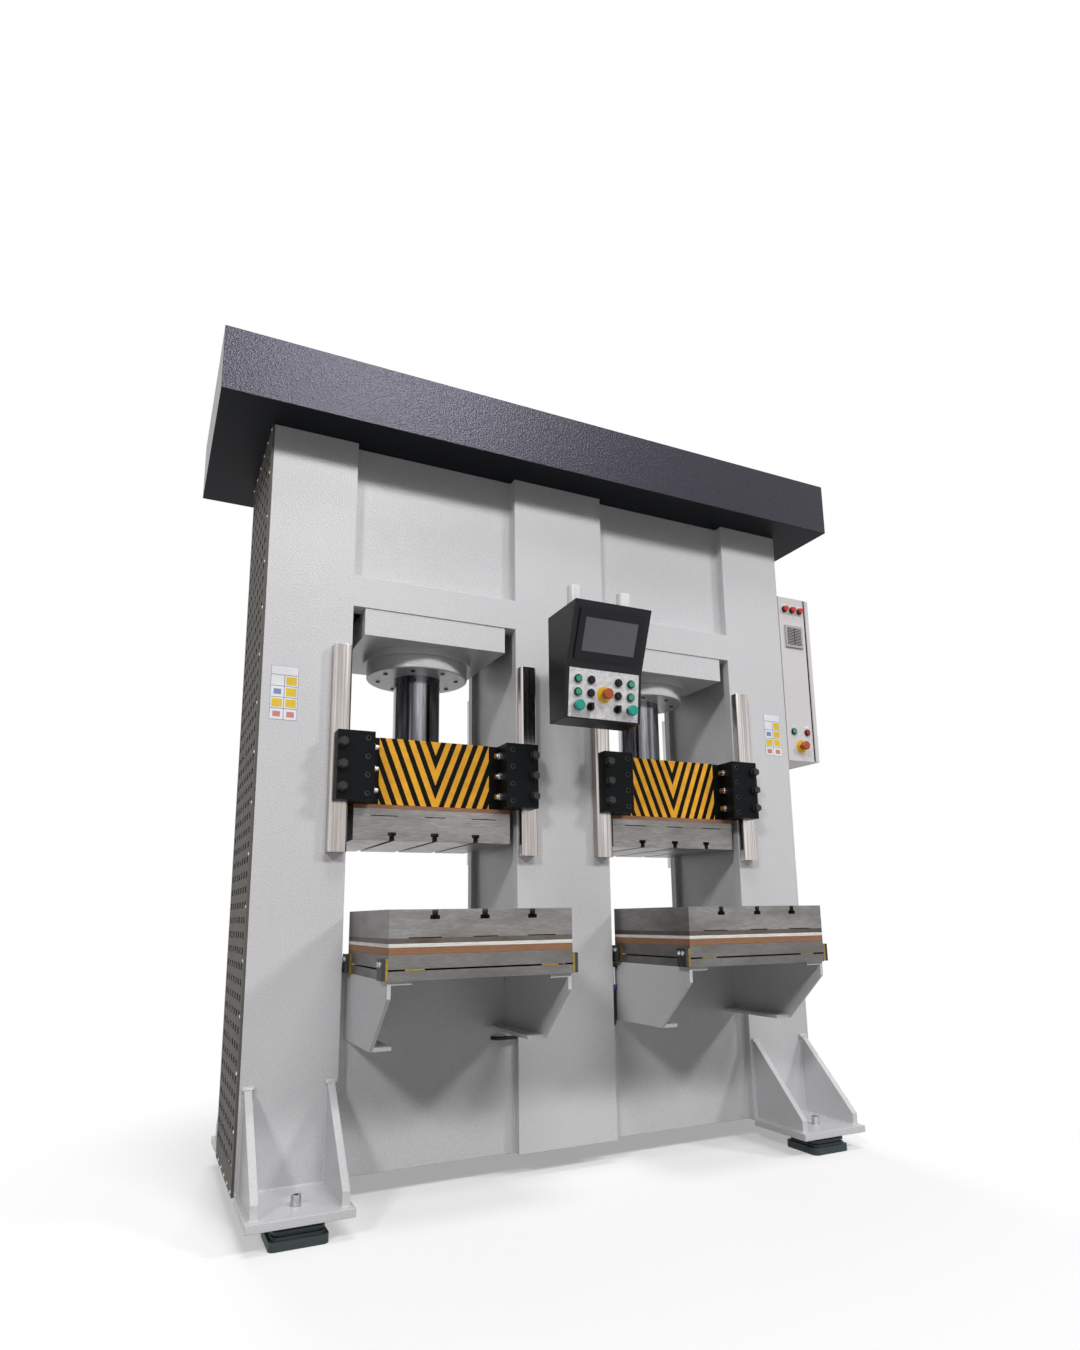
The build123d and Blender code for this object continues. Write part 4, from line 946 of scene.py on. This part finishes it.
class PRESS_OT_rams(bpy.types.Operator):
    """Finishes the rods, the slides with their stripes, and the guide blocks with their screws"""

    bl_idname = "press.rams"
    bl_label = "Rams and slides"

    # How many adjusters and sunk screws a guide block has.
    ADJUSTERS, SUNK_SCREWS = 3, 4
    # A lock nut's height as a share of its flats, and a side screw's bright length and its radius
    # as shares of its whole length and of its nut's flats.
    NUT_HEIGHT_SHARE, SHANK_SHARE, SHANK_RADIUS_SHARE = 0.3, 0.85, 0.42

    def execute(self, context):
        sizes = context.scene.press_sizes
        for side in STATIONS:
            body = side + "_ram"
            # The chrome finish carries painted reflections.
            dress(side + "_rod", "chrome")
            dress(side + "_slide", "black_oxide", sizes.edge)
            dress(side + "_guide_blocks", "black_oxide", sizes.fine_edge)
            low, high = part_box(side + "_slide")
            x = station_x(side)
            bm = bmesh.new()
            corner = (x - sizes.stripe_half, low.y - sizes.skin, low.z)
            block(bm, corner, (x + sizes.stripe_half, low.y, high.z))
            piece(side + "_warning_stripes", bm, body, "stripe_" + side)
            self.adjusters(side, body, sizes)
            self.side_screws(side, body, sizes)
            self.sunk_screws(side, body, sizes)
        return {"FINISHED"}

    def rows(self, low, high, count):
        """Evenly spaced heights from one to another."""
        return [low + (high - low) * number / (count - 1) for number in range(count)]

    def screw_rows(self, side, sizes):
        """The heights of the adjusters and the side screws."""
        low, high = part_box(side + "_guide_screws")
        return self.rows(low.z + sizes.lock_nut / 2, high.z - sizes.lock_nut / 2, self.ADJUSTERS)

    def inner_faces(self, side):
        """The faces of a station's guide blocks that look at its middle, left and right."""
        places, middle = corners(side + "_guide_blocks", 0), station_x(side)
        return max(x for x in places if x < middle), min(x for x in places if x > middle)

    def adjusters(self, side, body, sizes):
        """The adjusting bolts with lock nuts at the outer edge of each guide block, front and rear."""
        low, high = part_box(side + "_guide_screws")
        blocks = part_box(side + "_guide_blocks")
        nut = sizes.lock_nut * self.NUT_HEIGHT_SHARE
        bm = bmesh.new()
        for y, out in ((blocks[0].y, -1), (blocks[1].y, 1)):
            for x in (low.x, high.x):
                middle = x + math.copysign(sizes.lock_nut / math.sqrt(3), station_x(side) - x)
                for z in self.screw_rows(side, sizes):
                    base, direction = Vector((middle, y, z)), Vector((0, out, 0))
                    hexagon(bm, base, direction, sizes.lock_nut, nut)
                    head = base + direction * nut
                    hexagon(bm, head, direction, sizes.adjuster, high.y - blocks[1].y - nut)
        piece(side + "_adjusters", bm, body, "bolt_black", replaces=[side + "_guide_screws"])

    def side_screws(self, side, body, sizes):
        """The side screws between each guide block and the stripes: a bright nut and shank, a yellow end."""
        nuts, ends = bmesh.new(), bmesh.new()
        plates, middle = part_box("frame_plates"), station_x(side)
        for y in (plates[0].y - sizes.side_setback, plates[1].y + sizes.side_setback):
            for face in self.inner_faces(side):
                along = Vector((math.copysign(1, middle - face), 0, 0))
                for z in self.screw_rows(side, sizes):
                    base = Vector((face, y, z))
                    shoulder = base + along * sizes.side_screw * self.SHANK_SHARE
                    end = base + along * sizes.side_screw
                    hexagon(nuts, base, along, sizes.side_nut, sizes.side_screw / 2)
                    rod(nuts, base, shoulder, sizes.side_nut * self.SHANK_RADIUS_SHARE, sizes.round_steps)
                    rod(ends, shoulder, end, sizes.side_nut * self.SHANK_RADIUS_SHARE, sizes.round_steps)
        piece(side + "_side_nuts", nuts, body, "zinc")
        piece(side + "_side_screws", ends, body, "yellow_zinc")

    def sunk_screws(self, side, body, sizes):
        """The socket-head screws seated in the bores of each guide block, front and rear."""
        node, middle = side + "_guide_blocks", station_x(side)
        # From each end of the blocks, the depths are the face, its chamfer and the seats of the bores.
        depths = corners(node, 1)
        bm = bmesh.new()
        for seat, face, out in ((depths[2], depths[0], -1), (depths[-3], depths[-1], 1)):
            seated = [spot for spot in points(node) if abs(spot.y - seat) < MERGE]
            for bores in ([s for s in seated if s.x < middle], [s for s in seated if s.x > middle]):
                left, right = min(s.x for s in bores), max(s.x for s in bores)
                radius = (right - left) / 2
                foot, top = min(s.z for s in bores), max(s.z for s in bores)
                height = abs(face - seat) - sizes.fine_edge
                for z in self.rows(foot + radius, top - radius, self.SUNK_SCREWS):
                    base = ((left + right) / 2, seat, z)
                    socket_screw(bm, base, (0, out, 0), sizes.block_head, height, sizes.round_steps)
        piece(side + "_sunk_screws", bm, body, "bolt_black")


class PRESS_OT_tables(bpy.types.Operator):
    """Makes the platens and the boards, and finishes the shuttle tables"""

    bl_idname = "press.tables"
    bl_label = "Platens and tables"

    # The relief in a platen's back: its depth as a share of the plate, its ends as shares of the width.
    RELIEF_DEPTH_SHARE = 0.03
    RELIEF_SHARES = ((0.10, 0.27), (0.44, 0.57), (0.74, 0.90))
    # The keeper screws' height and places, as shares of the keeper.
    KEEPER_HEIGHT_SHARE, KEEPER_SHARES = 0.74, (0.3, 0.7)

    def execute(self, context):
        sizes = context.scene.press_sizes
        for side in STATIONS:
            self.platen(side + "_upper_platen", side + "_ram", sizes.fine_edge)
            self.platen(side + "_lower_platen", side + "_table", sizes.fine_edge)
            self.boards(side, sizes.fine_edge)
            self.shuttle(side, sizes)
            dress(side + "_table_liners", "brass", sizes.fine_edge)
            self.keeper_screws(side, sizes)
        return {"FINISHED"}

    def shuttle(self, side, sizes):
        """The milled shuttle plate, and the blued keepers that stand out past the slide's width."""
        middle = station_x(side)
        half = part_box(side + "_slide")[1].x - middle + sizes.edge

        def rule(spot):
            return "keeper_steel" if abs(spot.x - middle) > half else "bed_steel"

        paint(side + "_shuttle_plate", rule, sizes.fine_edge)

    def platen(self, node, body, edge):
        """A T-slot plate with shallow relief along its back, and the heater plate behind it."""
        low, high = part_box(node)
        xs, zs = corners(node, 0), corners(node, 2)
        slots = [xs[start : start + 4] for start in range(1, len(xs) - 1, 4)]
        lower = "lower" in node
        back, open_side = (zs[1], zs[-1]) if lower else (zs[-2], zs[0])
        neck, head = (zs[-2], zs[-3]) if lower else (zs[1], zs[2])
        relief = back + (open_side - back) * self.RELIEF_DEPTH_SHARE
        outline = [(xs[0], back)]
        for start, end in self.RELIEF_SHARES:
            left, right = xs[0] + start * (xs[-1] - xs[0]), xs[0] + end * (xs[-1] - xs[0])
            outline += [(left, back), (left, relief), (right, relief), (right, back)]
        outline += [(xs[-1], back), (xs[-1], open_side)]
        for head_left, neck_left, neck_right, head_right in reversed(slots):
            outline += [(neck_right, open_side), (neck_right, neck), (head_right, neck), (head_right, head)]
            outline += [(head_left, head), (head_left, neck), (neck_left, neck), (neck_left, open_side)]
        outline.append((xs[0], open_side))
        bm = bmesh.new()
        prism(bm, outline, low.y, high.y, edge)
        piece(node + "_slotted", bm, body, "platen_steel", replaces=[node])
        bm = bmesh.new()
        base, top = (low.z, back) if lower else (back, high.z)
        block(bm, (low.x, low.y, base), (high.x, high.y, top), edge)
        finish = "heater_steel" if lower else "platen_steel"
        piece(node + "_heater", bm, body, finish)

    def boards(self, side, edge):
        """The brown board over the platen, and the white and brown boards under the table."""
        low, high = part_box(side + "_upper_board")
        bm = bmesh.new()
        block(bm, low, high, edge)
        ram, table = side + "_ram", side + "_table"
        piece(side + "_hot_board", bm, ram, "brown_board", replaces=[side + "_upper_board"])
        node = side + "_table_boards"
        low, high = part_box(node)
        seam = corners(node, 2)[1]
        bm = bmesh.new()
        block(bm, low, (high.x, high.y, seam), edge)
        piece(side + "_brown_board", bm, table, "brown_board", replaces=[node])
        bm = bmesh.new()
        block(bm, (low.x, low.y, seam), high, edge)
        piece(side + "_white_board", bm, table, "white_board")

    def keeper_screws(self, side, sizes):
        """Two screws in the upper half of each keeper at the table's corners."""
        node = side + "_shuttle_plate"
        low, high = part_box(node)
        ys = corners(node, 1)
        level = low.z + self.KEEPER_HEIGHT_SHARE * (corners(node, 2)[-2] - low.z)
        bm = bmesh.new()
        for start, end in ((ys[0], ys[1]), (ys[-2], ys[-1])):
            for share in self.KEEPER_SHARES:
                y = start + share * (end - start)
                for x, out in ((low.x, -1), (high.x, 1)):
                    base, head = (x, y, level), sizes.keeper_head
                    socket_screw(bm, base, (out, 0, 0), head, sizes.low_head, sizes.round_steps)
        piece(side + "_keeper_screws", bm, side + "_table", "zinc")


class PRESS_OT_pendant(bpy.types.Operator):
    """Finishes the pendant, its screen, its button plate and its controls"""

    bl_idname = "press.pendant"
    bl_label = "Operator's pendant"

    BUTTONS = ("upper_green_button", "lower_green_button", "upper_black_button", "lower_black_button")
    # The tubes' width as a share of their collars', and a screw's inset as a share of its head.
    TUBE_SHARE, INSET_SHARE = 0.87, 1.2

    def execute(self, context):
        sizes = context.scene.press_sizes
        dress("pendant_box", "pendant_black", sizes.edge)
        self.mount()
        self.screen(sizes)
        self.plate(sizes)
        for side in STATIONS:
            for level in ("upper", "lower"):
                dress(f"{side}_{level}_green_button", "button_green", sizes.fine_edge)
                dress(f"{side}_{level}_black_button", "button_black", sizes.fine_edge)
            dress(side + "_selector", "button_black", sizes.fine_edge)
            dress(side + "_hand_button", "button_teal")
        dress("emergency_stop", "stop_red")
        return {"FINISHED"}

    def mount(self):
        """Black steel behind the pendant, and milky tubes in black collars on top of it."""
        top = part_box("pendant_box")[1].z
        spots = [spot for spot in points("pendant_mount") if spot.z > top]
        far = max(spot.x for spot in spots)
        near = min(spot.x for spot in spots if spot.x > 0)
        middle = Vector(((near + far) / 2, (min(s.y for s in spots) + max(s.y for s in spots)) / 2))
        tube = (far - near) / 2 * self.TUBE_SHARE

        def rule(spot):
            if spot.z < top:
                return "pendant_black"
            out = (Vector((abs(spot.x), spot.y)) - middle).length
            return "trim_black" if out > tube else "tube_white"

        paint("pendant_mount", rule)

    def screen(self, sizes):
        """The dark bezel and the grey glass in it."""
        dress("operator_screen", "screen_bezel", sizes.fine_edge)
        place, _ = facing("operator_screen")
        reach = Vector((sizes.glass_width / 2, sizes.skin, sizes.glass_height / 2))
        bm = bmesh.new()
        block(bm, -reach, reach, 0.0, place)
        piece("screen_glass", bm, "frame", "screen_glass")

    def plate(self, sizes):
        """The pale plate with its black rings, yellow collar, six screws and blank tags."""
        place, rise = facing("button_plate")
        back = place.inverted()
        stop = back @ ((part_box("emergency_stop")[0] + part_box("emergency_stop")[1]) / 2)

        def rule(spot):
            local = back @ spot
            if local.y > -sizes.skin:
                return "button_sheet"
            out = math.hypot(local.x - stop.x, local.z - stop.z)
            return "stop_yellow" if out < sizes.collar_reach else "trim_black"

        paint("button_plate", rule)
        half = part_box("button_plate")[1].x
        edge = sizes.plate_head * self.INSET_SHARE
        bm = bmesh.new()
        for x in (-half + edge, 0, half - edge):
            for z in (-rise / 2 + edge, rise / 2 - edge):
                spot, out = place @ Vector((x, 0, z)), place.to_3x3() @ FORWARD
                pan_screw(bm, spot, out, sizes.plate_head, sizes.round_steps)
        piece("plate_screws", bm, "frame", "zinc")
        bm = bmesh.new()
        for side in STATIONS:
            for name in (*self.BUTTONS, "selector", "hand_button"):
                low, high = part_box(f"{side}_{name}")
                spot = back @ ((low + high) / 2)
                rise_by = -sizes.tag_drop if name == "hand_button" else sizes.tag_rise
                tag(bm, Vector((spot.x, 0, spot.z + rise_by)), sizes, place)
        piece("control_tags", bm, "frame", "label_white")


class PRESS_OT_cabinet(bpy.types.Operator):
    """Finishes the electrical cabinet, its lamps, its grille and its controls"""

    bl_idname = "press.cabinet"
    bl_label = "Electrical cabinet"

    # The lamps' rings and spacing, the grille's rim and slats, the door's seal and its lip, in metres.
    RING, LAMP_PITCH, RIM, SLAT, SEAL, LIP = 0.007, 0.0455, 0.011, 0.002, 0.002, 0.008
    # The rows of slats, and half a slat's height as a share of its row.
    SLATS, SLAT_SHARE = 11, 0.22
    # The finishes of the rows of switchgear inside, from the foot up.
    GEAR = ("trim_black", "switch_grey", "grille_grey")

    def execute(self, context):
        sizes = context.scene.press_sizes
        dress("cabinet_body", "cabinet_paint", sizes.fine_edge)
        dress("cabinet_door", "cabinet_paint", sizes.fine_edge)
        self.gear(sizes)
        dress("cabinet_green_button", "button_green", sizes.fine_edge)
        dress("cabinet_red_button", "button_red", sizes.fine_edge)
        dress("cabinet_emergency_stop", "stop_red")
        self.fittings(sizes)
        self.gasket(sizes)
        return {"FINISHED"}

    def gear(self, sizes):
        """The zinc plate inside the cabinet, and the rows of switchgear on it."""
        low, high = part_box("cabinet_gear")
        plate = corners("cabinet_gear", 0)[-2] + sizes.skin

        def rule(spot):
            row = int((spot.z - low.z) / (high.z - low.z) * len(self.GEAR))
            return self.GEAR[row] if spot.x > plate else "zinc"

        paint("cabinet_gear", rule, sizes.fine_edge)

    def fittings(self, sizes):
        """Red lamps, a grey grille, black rings and a yellow collar on the front, with blank tags."""
        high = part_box("cabinet_fittings")[1]
        heights = corners("cabinet_fittings", 2)
        # The two biggest gaps between the fittings' heights part the rings, the grille and the lamps.
        gaps = sorted(zip(heights, heights[1:]), key=lambda pair: pair[0] - pair[1])[:2]
        (rings, grille_low), (grille_high, lamps) = sorted(gaps)
        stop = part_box("cabinet_emergency_stop")
        collar = (stop[0].z + stop[1].z) / 2 + sizes.collar_reach

        def rule(spot):
            if spot.z >= lamps:
                return "lamp_red" if spot.y < high.y - self.RING else "trim_black"
            if spot.z > rings:
                return "grille_grey"
            return "trim_black" if spot.z > collar else "stop_yellow"

        paint("cabinet_fittings", rule)
        grille = [spot for spot in points("cabinet_fittings") if rings < spot.z < lamps]
        left, right = min(g.x for g in grille), max(g.x for g in grille)
        self.grille((left, right), (grille_low, grille_high), min(g.y for g in grille), sizes)
        tags, face = bmesh.new(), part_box("cabinet_body")[0].y
        for step in (-1, 0, 1):
            x = (left + right) / 2 + step * self.LAMP_PITCH
            tag(tags, Vector((x, face, high.z + sizes.tag_height)), sizes)
        for name in ("cabinet_green_button", "cabinet_red_button"):
            low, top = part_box(name)
            tag(tags, Vector(((low.x + top.x) / 2, face, (low.z + top.z) / 2 + sizes.tag_drop)), sizes)
        piece("cabinet_tags", tags, "frame", "label_white")

    def grille(self, across, up, front, sizes):
        """A thin black sheet of painted shade in the fan grille's opening, and two rows of slats over it."""
        painted_shade_sheet, slats = bmesh.new(), bmesh.new()
        left, right = across[0] + self.RIM, across[1] - self.RIM
        low, high = up[0] + self.RIM, up[1] - self.RIM
        # The black sheet behind the slats is painted shade in the grille's opening.
        block(painted_shade_sheet, (left, front - sizes.skin, low), (right, front, high))
        pitch, middle = (high - low) / self.SLATS, (left + right) / 2
        for number in range(self.SLATS):
            z = low + (number + 0.5) * pitch
            for start, end in ((left, middle - self.SLAT), (middle + self.SLAT, right)):
                corner = (start, front - self.SLAT, z - pitch * self.SLAT_SHARE)
                block(slats, corner, (end, front, z + pitch * self.SLAT_SHARE), sizes.skin)
        piece("grille_slots", painted_shade_sheet, "frame", "trim_black")
        piece("grille_slats", slats, "frame", "grille_grey")

    def gasket(self, sizes):
        """The black seal between the cabinet's body and its door, with its lip along the front edge."""
        body, door = corners("cabinet_body", 0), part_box("cabinet_door")
        outer = max(x for x in body if x < door[0].x)
        back = corners("cabinet_body", 1, door[1].z - sizes.skin)[-1]
        low = Vector((outer - self.SEAL, door[0].y + self.SEAL, door[0].z + self.SEAL))
        high = Vector((outer - sizes.skin, back - self.SEAL, door[1].z - self.SEAL))
        width = self.RIM
        bm = bmesh.new()
        block(bm, low, (high.x, high.y, low.z + width))
        block(bm, (low.x, low.y, high.z - width), high)
        block(bm, (low.x, low.y, low.z + width), (high.x, low.y + width, high.z - width))
        block(bm, (low.x, high.y - width, low.z + width), (high.x, high.y, high.z - width))
        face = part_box("cabinet_body")[0].y
        block(bm, (outer - self.LIP, face - sizes.skin, low.z), (outer, face, high.z))
        piece("door_gasket", bm, "frame", "trim_black")


class PRESS_OT_power_pack(bpy.types.Operator):
    """Finishes the tank, the motor, the valves, the tap and the hoses"""

    bl_idname = "press.power_pack"
    bl_label = "Power pack and hoses"

    # The tap's handle and whole height, and the outline of the collar on its hose, in metres.
    HANDLE, TAP = 0.011, 0.0825
    COLLAR = ((0.0072, -0.009), (0.0105, -0.009), (0.0115, 0), (0.0105, 0.009), (0.0072, 0.009))

    def execute(self, context):
        sizes = context.scene.press_sizes
        dress("oil_tank", "tank_paint", sizes.edge)
        dress("motor_pump", "motor_paint")
        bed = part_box("bed_plates")[0].z
        tap = [spot for spot in points("valves_and_pipes") if spot.z < bed and spot.x > 0]
        left, right = min(spot.x for spot in tap), max(spot.x for spot in tap)
        top = max(spot.z for spot in tap)
        handle, foot = top - self.HANDLE, top - self.TAP
        body = [spot for spot in tap if foot < spot.z < handle]
        y = min(spot.y for spot in body) + (right - left) / 2

        def rule(spot):
            if spot.z > bed:
                return "pipe_steel"
            if spot.x < 0 or spot.z < foot:
                return "hose_rubber"
            return "trim_black" if spot.z > handle else "zinc"

        paint("valves_and_pipes", rule)
        bm = bmesh.new()
        turned(bm, self.COLLAR, ((left + right) / 2, y, foot), UP, sizes.round_steps, ring=True)
        piece("tap_collar", bm, "frame", "collar_blue")
        return {"FINISHED"}


class PRESS_OT_stage(bpy.types.Operator):
    """Sets up the floor, the light and the camera"""

    bl_idname = "press.stage"
    bl_label = "Stage"

    # Each lamp's place, the point it looks at, and its width and height, in metres.
    LAMPS = {
        "key": ((2.4, -14.4, 13.4), (0, 0, 1.4), (6.4, 2.4)),
        "left": ((-12.0, -12.0, 11.0), (0, 0, 1.4), (2.4, 2.4)),
        "right": ((12.0, -12.0, 11.0), (0, 0, 1.4), (2.4, 2.4)),
        "top": ((-1.0, -4.0, 11.0), (0, 0, 1.0), (3.4, 2.4)),
        "rear": ((0.0, 12.0, 10.0), (0, 0, 1.4), (6.4, 3.2)),
    }
    # The lamps that shiny paint and metal mirror.
    MIRRORED = ("key_lamp", "left_lamp")
    # The floor's radius, and where it starts to turn white and is white, in metres, and its rim's steps.
    FLOOR_REACH, FLOOR_NEAR, FLOOR_FAR, FLOOR_STEPS = 45.0, 1.1, 2.3, 96
    # The floor's tone in the light that it throws back, and as the camera sees it.
    FLOOR_BOUNCE, FLOOR_SEEN = 0.3, 0.97
    # The share of white in the floor beside the press, which keeps its shadow grey.
    SHADOW_LIFT = 0.35
    # The camera's place in metres, its turn in degrees and its shift as shares of the sensor.
    CAMERA, TURN, SHIFT = (-1.4984, -3.1069, 0.9128), (101.24, 0.84, -25.95), (-0.0073, 0.0558)
    SENSOR, FAR_CLIP = 36.0, 200.0

    def execute(self, context):
        scene, stage = context.scene, context.scene.press_stage
        scene.view_settings.view_transform = "Standard"
        self.floor(scene)
        self.sky(scene, stage.sky)
        for name, (place, aim, size) in self.LAMPS.items():
            self.lamp(scene, name + "_lamp", place, aim, size, getattr(stage, name))
        self.camera(scene, stage.lens)
        return {"FINISHED"}

    def seen(self, tree):
        """One for the camera's rays and for those that metal and glass send on, and zero for the rest."""
        path = add(tree, "ShaderNodeLightPath", {}).outputs
        mirrored = {0: path["Is Glossy Ray"], 1: path["Is Transmission Ray"]}
        sent_on = add(tree, "ShaderNodeMath", mirrored, operation="MAXIMUM").outputs[0]
        every = {0: path["Is Camera Ray"], 1: sent_on}
        return add(tree, "ShaderNodeMath", every, operation="MAXIMUM").outputs[0]

    def floor(self, scene):
        """A pale floor that is white away from the press and keeps its shadow."""
        bm = bmesh.new()
        bmesh.ops.create_circle(bm, cap_ends=True, segments=self.FLOOR_STEPS, radius=self.FLOOR_REACH)
        mesh = bpy.data.meshes.new("floor")
        bm.to_mesh(mesh)
        bm.free()
        floor = bpy.data.objects.new("floor", mesh)
        scene.collection.objects.link(floor)
        made, tree = material("pale_floor")
        place = add(tree, "ShaderNodeTexCoord", {}).outputs["Object"]
        length = add(tree, "ShaderNodeVectorMath", {0: place}, operation="LENGTH")
        far = add(
            tree,
            "ShaderNodeMapRange",
            {0: length.outputs["Value"], 1: self.FLOOR_NEAR, 2: self.FLOOR_FAR, 3: self.SHADOW_LIFT},
            interpolation_type="SMOOTHSTEP",
        )
        seen = self.seen(tree)
        share = add(tree, "ShaderNodeMath", {0: seen, 1: far.outputs[0]}, operation="MULTIPLY")
        # The light that the floor throws back is that of a darker workshop floor.
        tones = {3: self.FLOOR_BOUNCE, 4: self.FLOOR_SEEN}
        pale = add(tree, "ShaderNodeMapRange", {0: seen, **tones})
        matt = add(tree, "ShaderNodeBsdfDiffuse", {"Color": pale.outputs[0]})
        white = add(tree, "ShaderNodeEmission", {"Color": WHITE, "Strength": 1.0})
        shaders = {0: share.outputs[0], 1: matt.outputs[0], 2: white.outputs[0]}
        mixed = add(tree, "ShaderNodeMixShader", shaders)
        add(tree, "ShaderNodeOutputMaterial", {"Surface": mixed.outputs[0]})
        mesh.materials.append(made)

    def sky(self, scene, strength):
        """An even sky that the camera, metal and glass see as white."""
        world = bpy.data.worlds.new("studio")
        world.use_nodes = True
        scene.world = world
        tree = world.node_tree
        tree.nodes.clear()
        level = add(tree, "ShaderNodeMapRange", {0: self.seen(tree), 3: strength, 4: 1.0})
        light = add(tree, "ShaderNodeBackground", {"Color": WHITE, "Strength": level.outputs[0]})
        add(tree, "ShaderNodeOutputWorld", {"Surface": light.outputs[0]})

    def lamp(self, scene, name, place, aim, size, power):
        """A soft rectangular lamp pointed at the press."""
        data = bpy.data.lights.new(name, "AREA")
        data.shape = "RECTANGLE"
        data.size, data.size_y = size
        data.energy = power
        made = bpy.data.objects.new(name, data)
        made.visible_glossy = name in self.MIRRORED
        made.location = place
        made.rotation_euler = (Vector(aim) - Vector(place)).to_track_quat("-Z", "Y").to_euler()
        scene.collection.objects.link(made)

    def camera(self, scene, lens):
        """The camera at the photograph's place, low and to the left."""
        data = bpy.data.cameras.new("camera")
        data.sensor_width = self.SENSOR
        data.lens = lens
        data.shift_x, data.shift_y = self.SHIFT
        data.clip_end = self.FAR_CLIP
        made = bpy.data.objects.new("camera", data)
        made.location = self.CAMERA
        made.rotation_euler = [math.radians(angle) for angle in self.TURN]
        scene.collection.objects.link(made)
        scene.camera = made


class PRESS_PT_panel(bpy.types.Panel):
    """Lists the steps that finish the press"""

    bl_idname = "PRESS_PT_panel"
    bl_label = "Hydraulic press"
    bl_space_type = "VIEW_3D"
    bl_region_type = "UI"
    bl_category = "Press"

    def draw(self, context):
        for step in STEPS:
            self.layout.operator(step.bl_idname)
        for group in (context.scene.press_colours, context.scene.press_sizes, context.scene.press_stage):
            for name in group.__annotations__:
                self.layout.prop(group, name)


STEPS = (
    PRESS_OT_frame,
    PRESS_OT_canopy,
    PRESS_OT_side_panels,
    PRESS_OT_labels,
    PRESS_OT_mounts,
    PRESS_OT_rams,
    PRESS_OT_tables,
    PRESS_OT_pendant,
    PRESS_OT_cabinet,
    PRESS_OT_power_pack,
    PRESS_OT_stage,
)
GROUPS = {"press_colours": PressColours, "press_sizes": PressSizes, "press_stage": PressStage}


def register():
    for group in GROUPS.values():
        bpy.utils.register_class(group)
    for name, group in GROUPS.items():
        setattr(bpy.types.Scene, name, PointerProperty(type=group))
    for step in (*STEPS, PRESS_PT_panel):
        bpy.utils.register_class(step)


def unregister():
    for step in (PRESS_PT_panel, *reversed(STEPS)):
        bpy.utils.unregister_class(step)
    for name in GROUPS:
        delattr(bpy.types.Scene, name)
    for group in reversed(GROUPS.values()):
        bpy.utils.unregister_class(group)


def main():
    register()
    scene = bpy.context.scene
    make_finishes(scene.press_colours, scene.press_sizes)
    for step in STEPS:
        family, name = step.bl_idname.split(".")
        getattr(getattr(bpy.ops, family), name)()


if __name__ == "__main__":
    main()
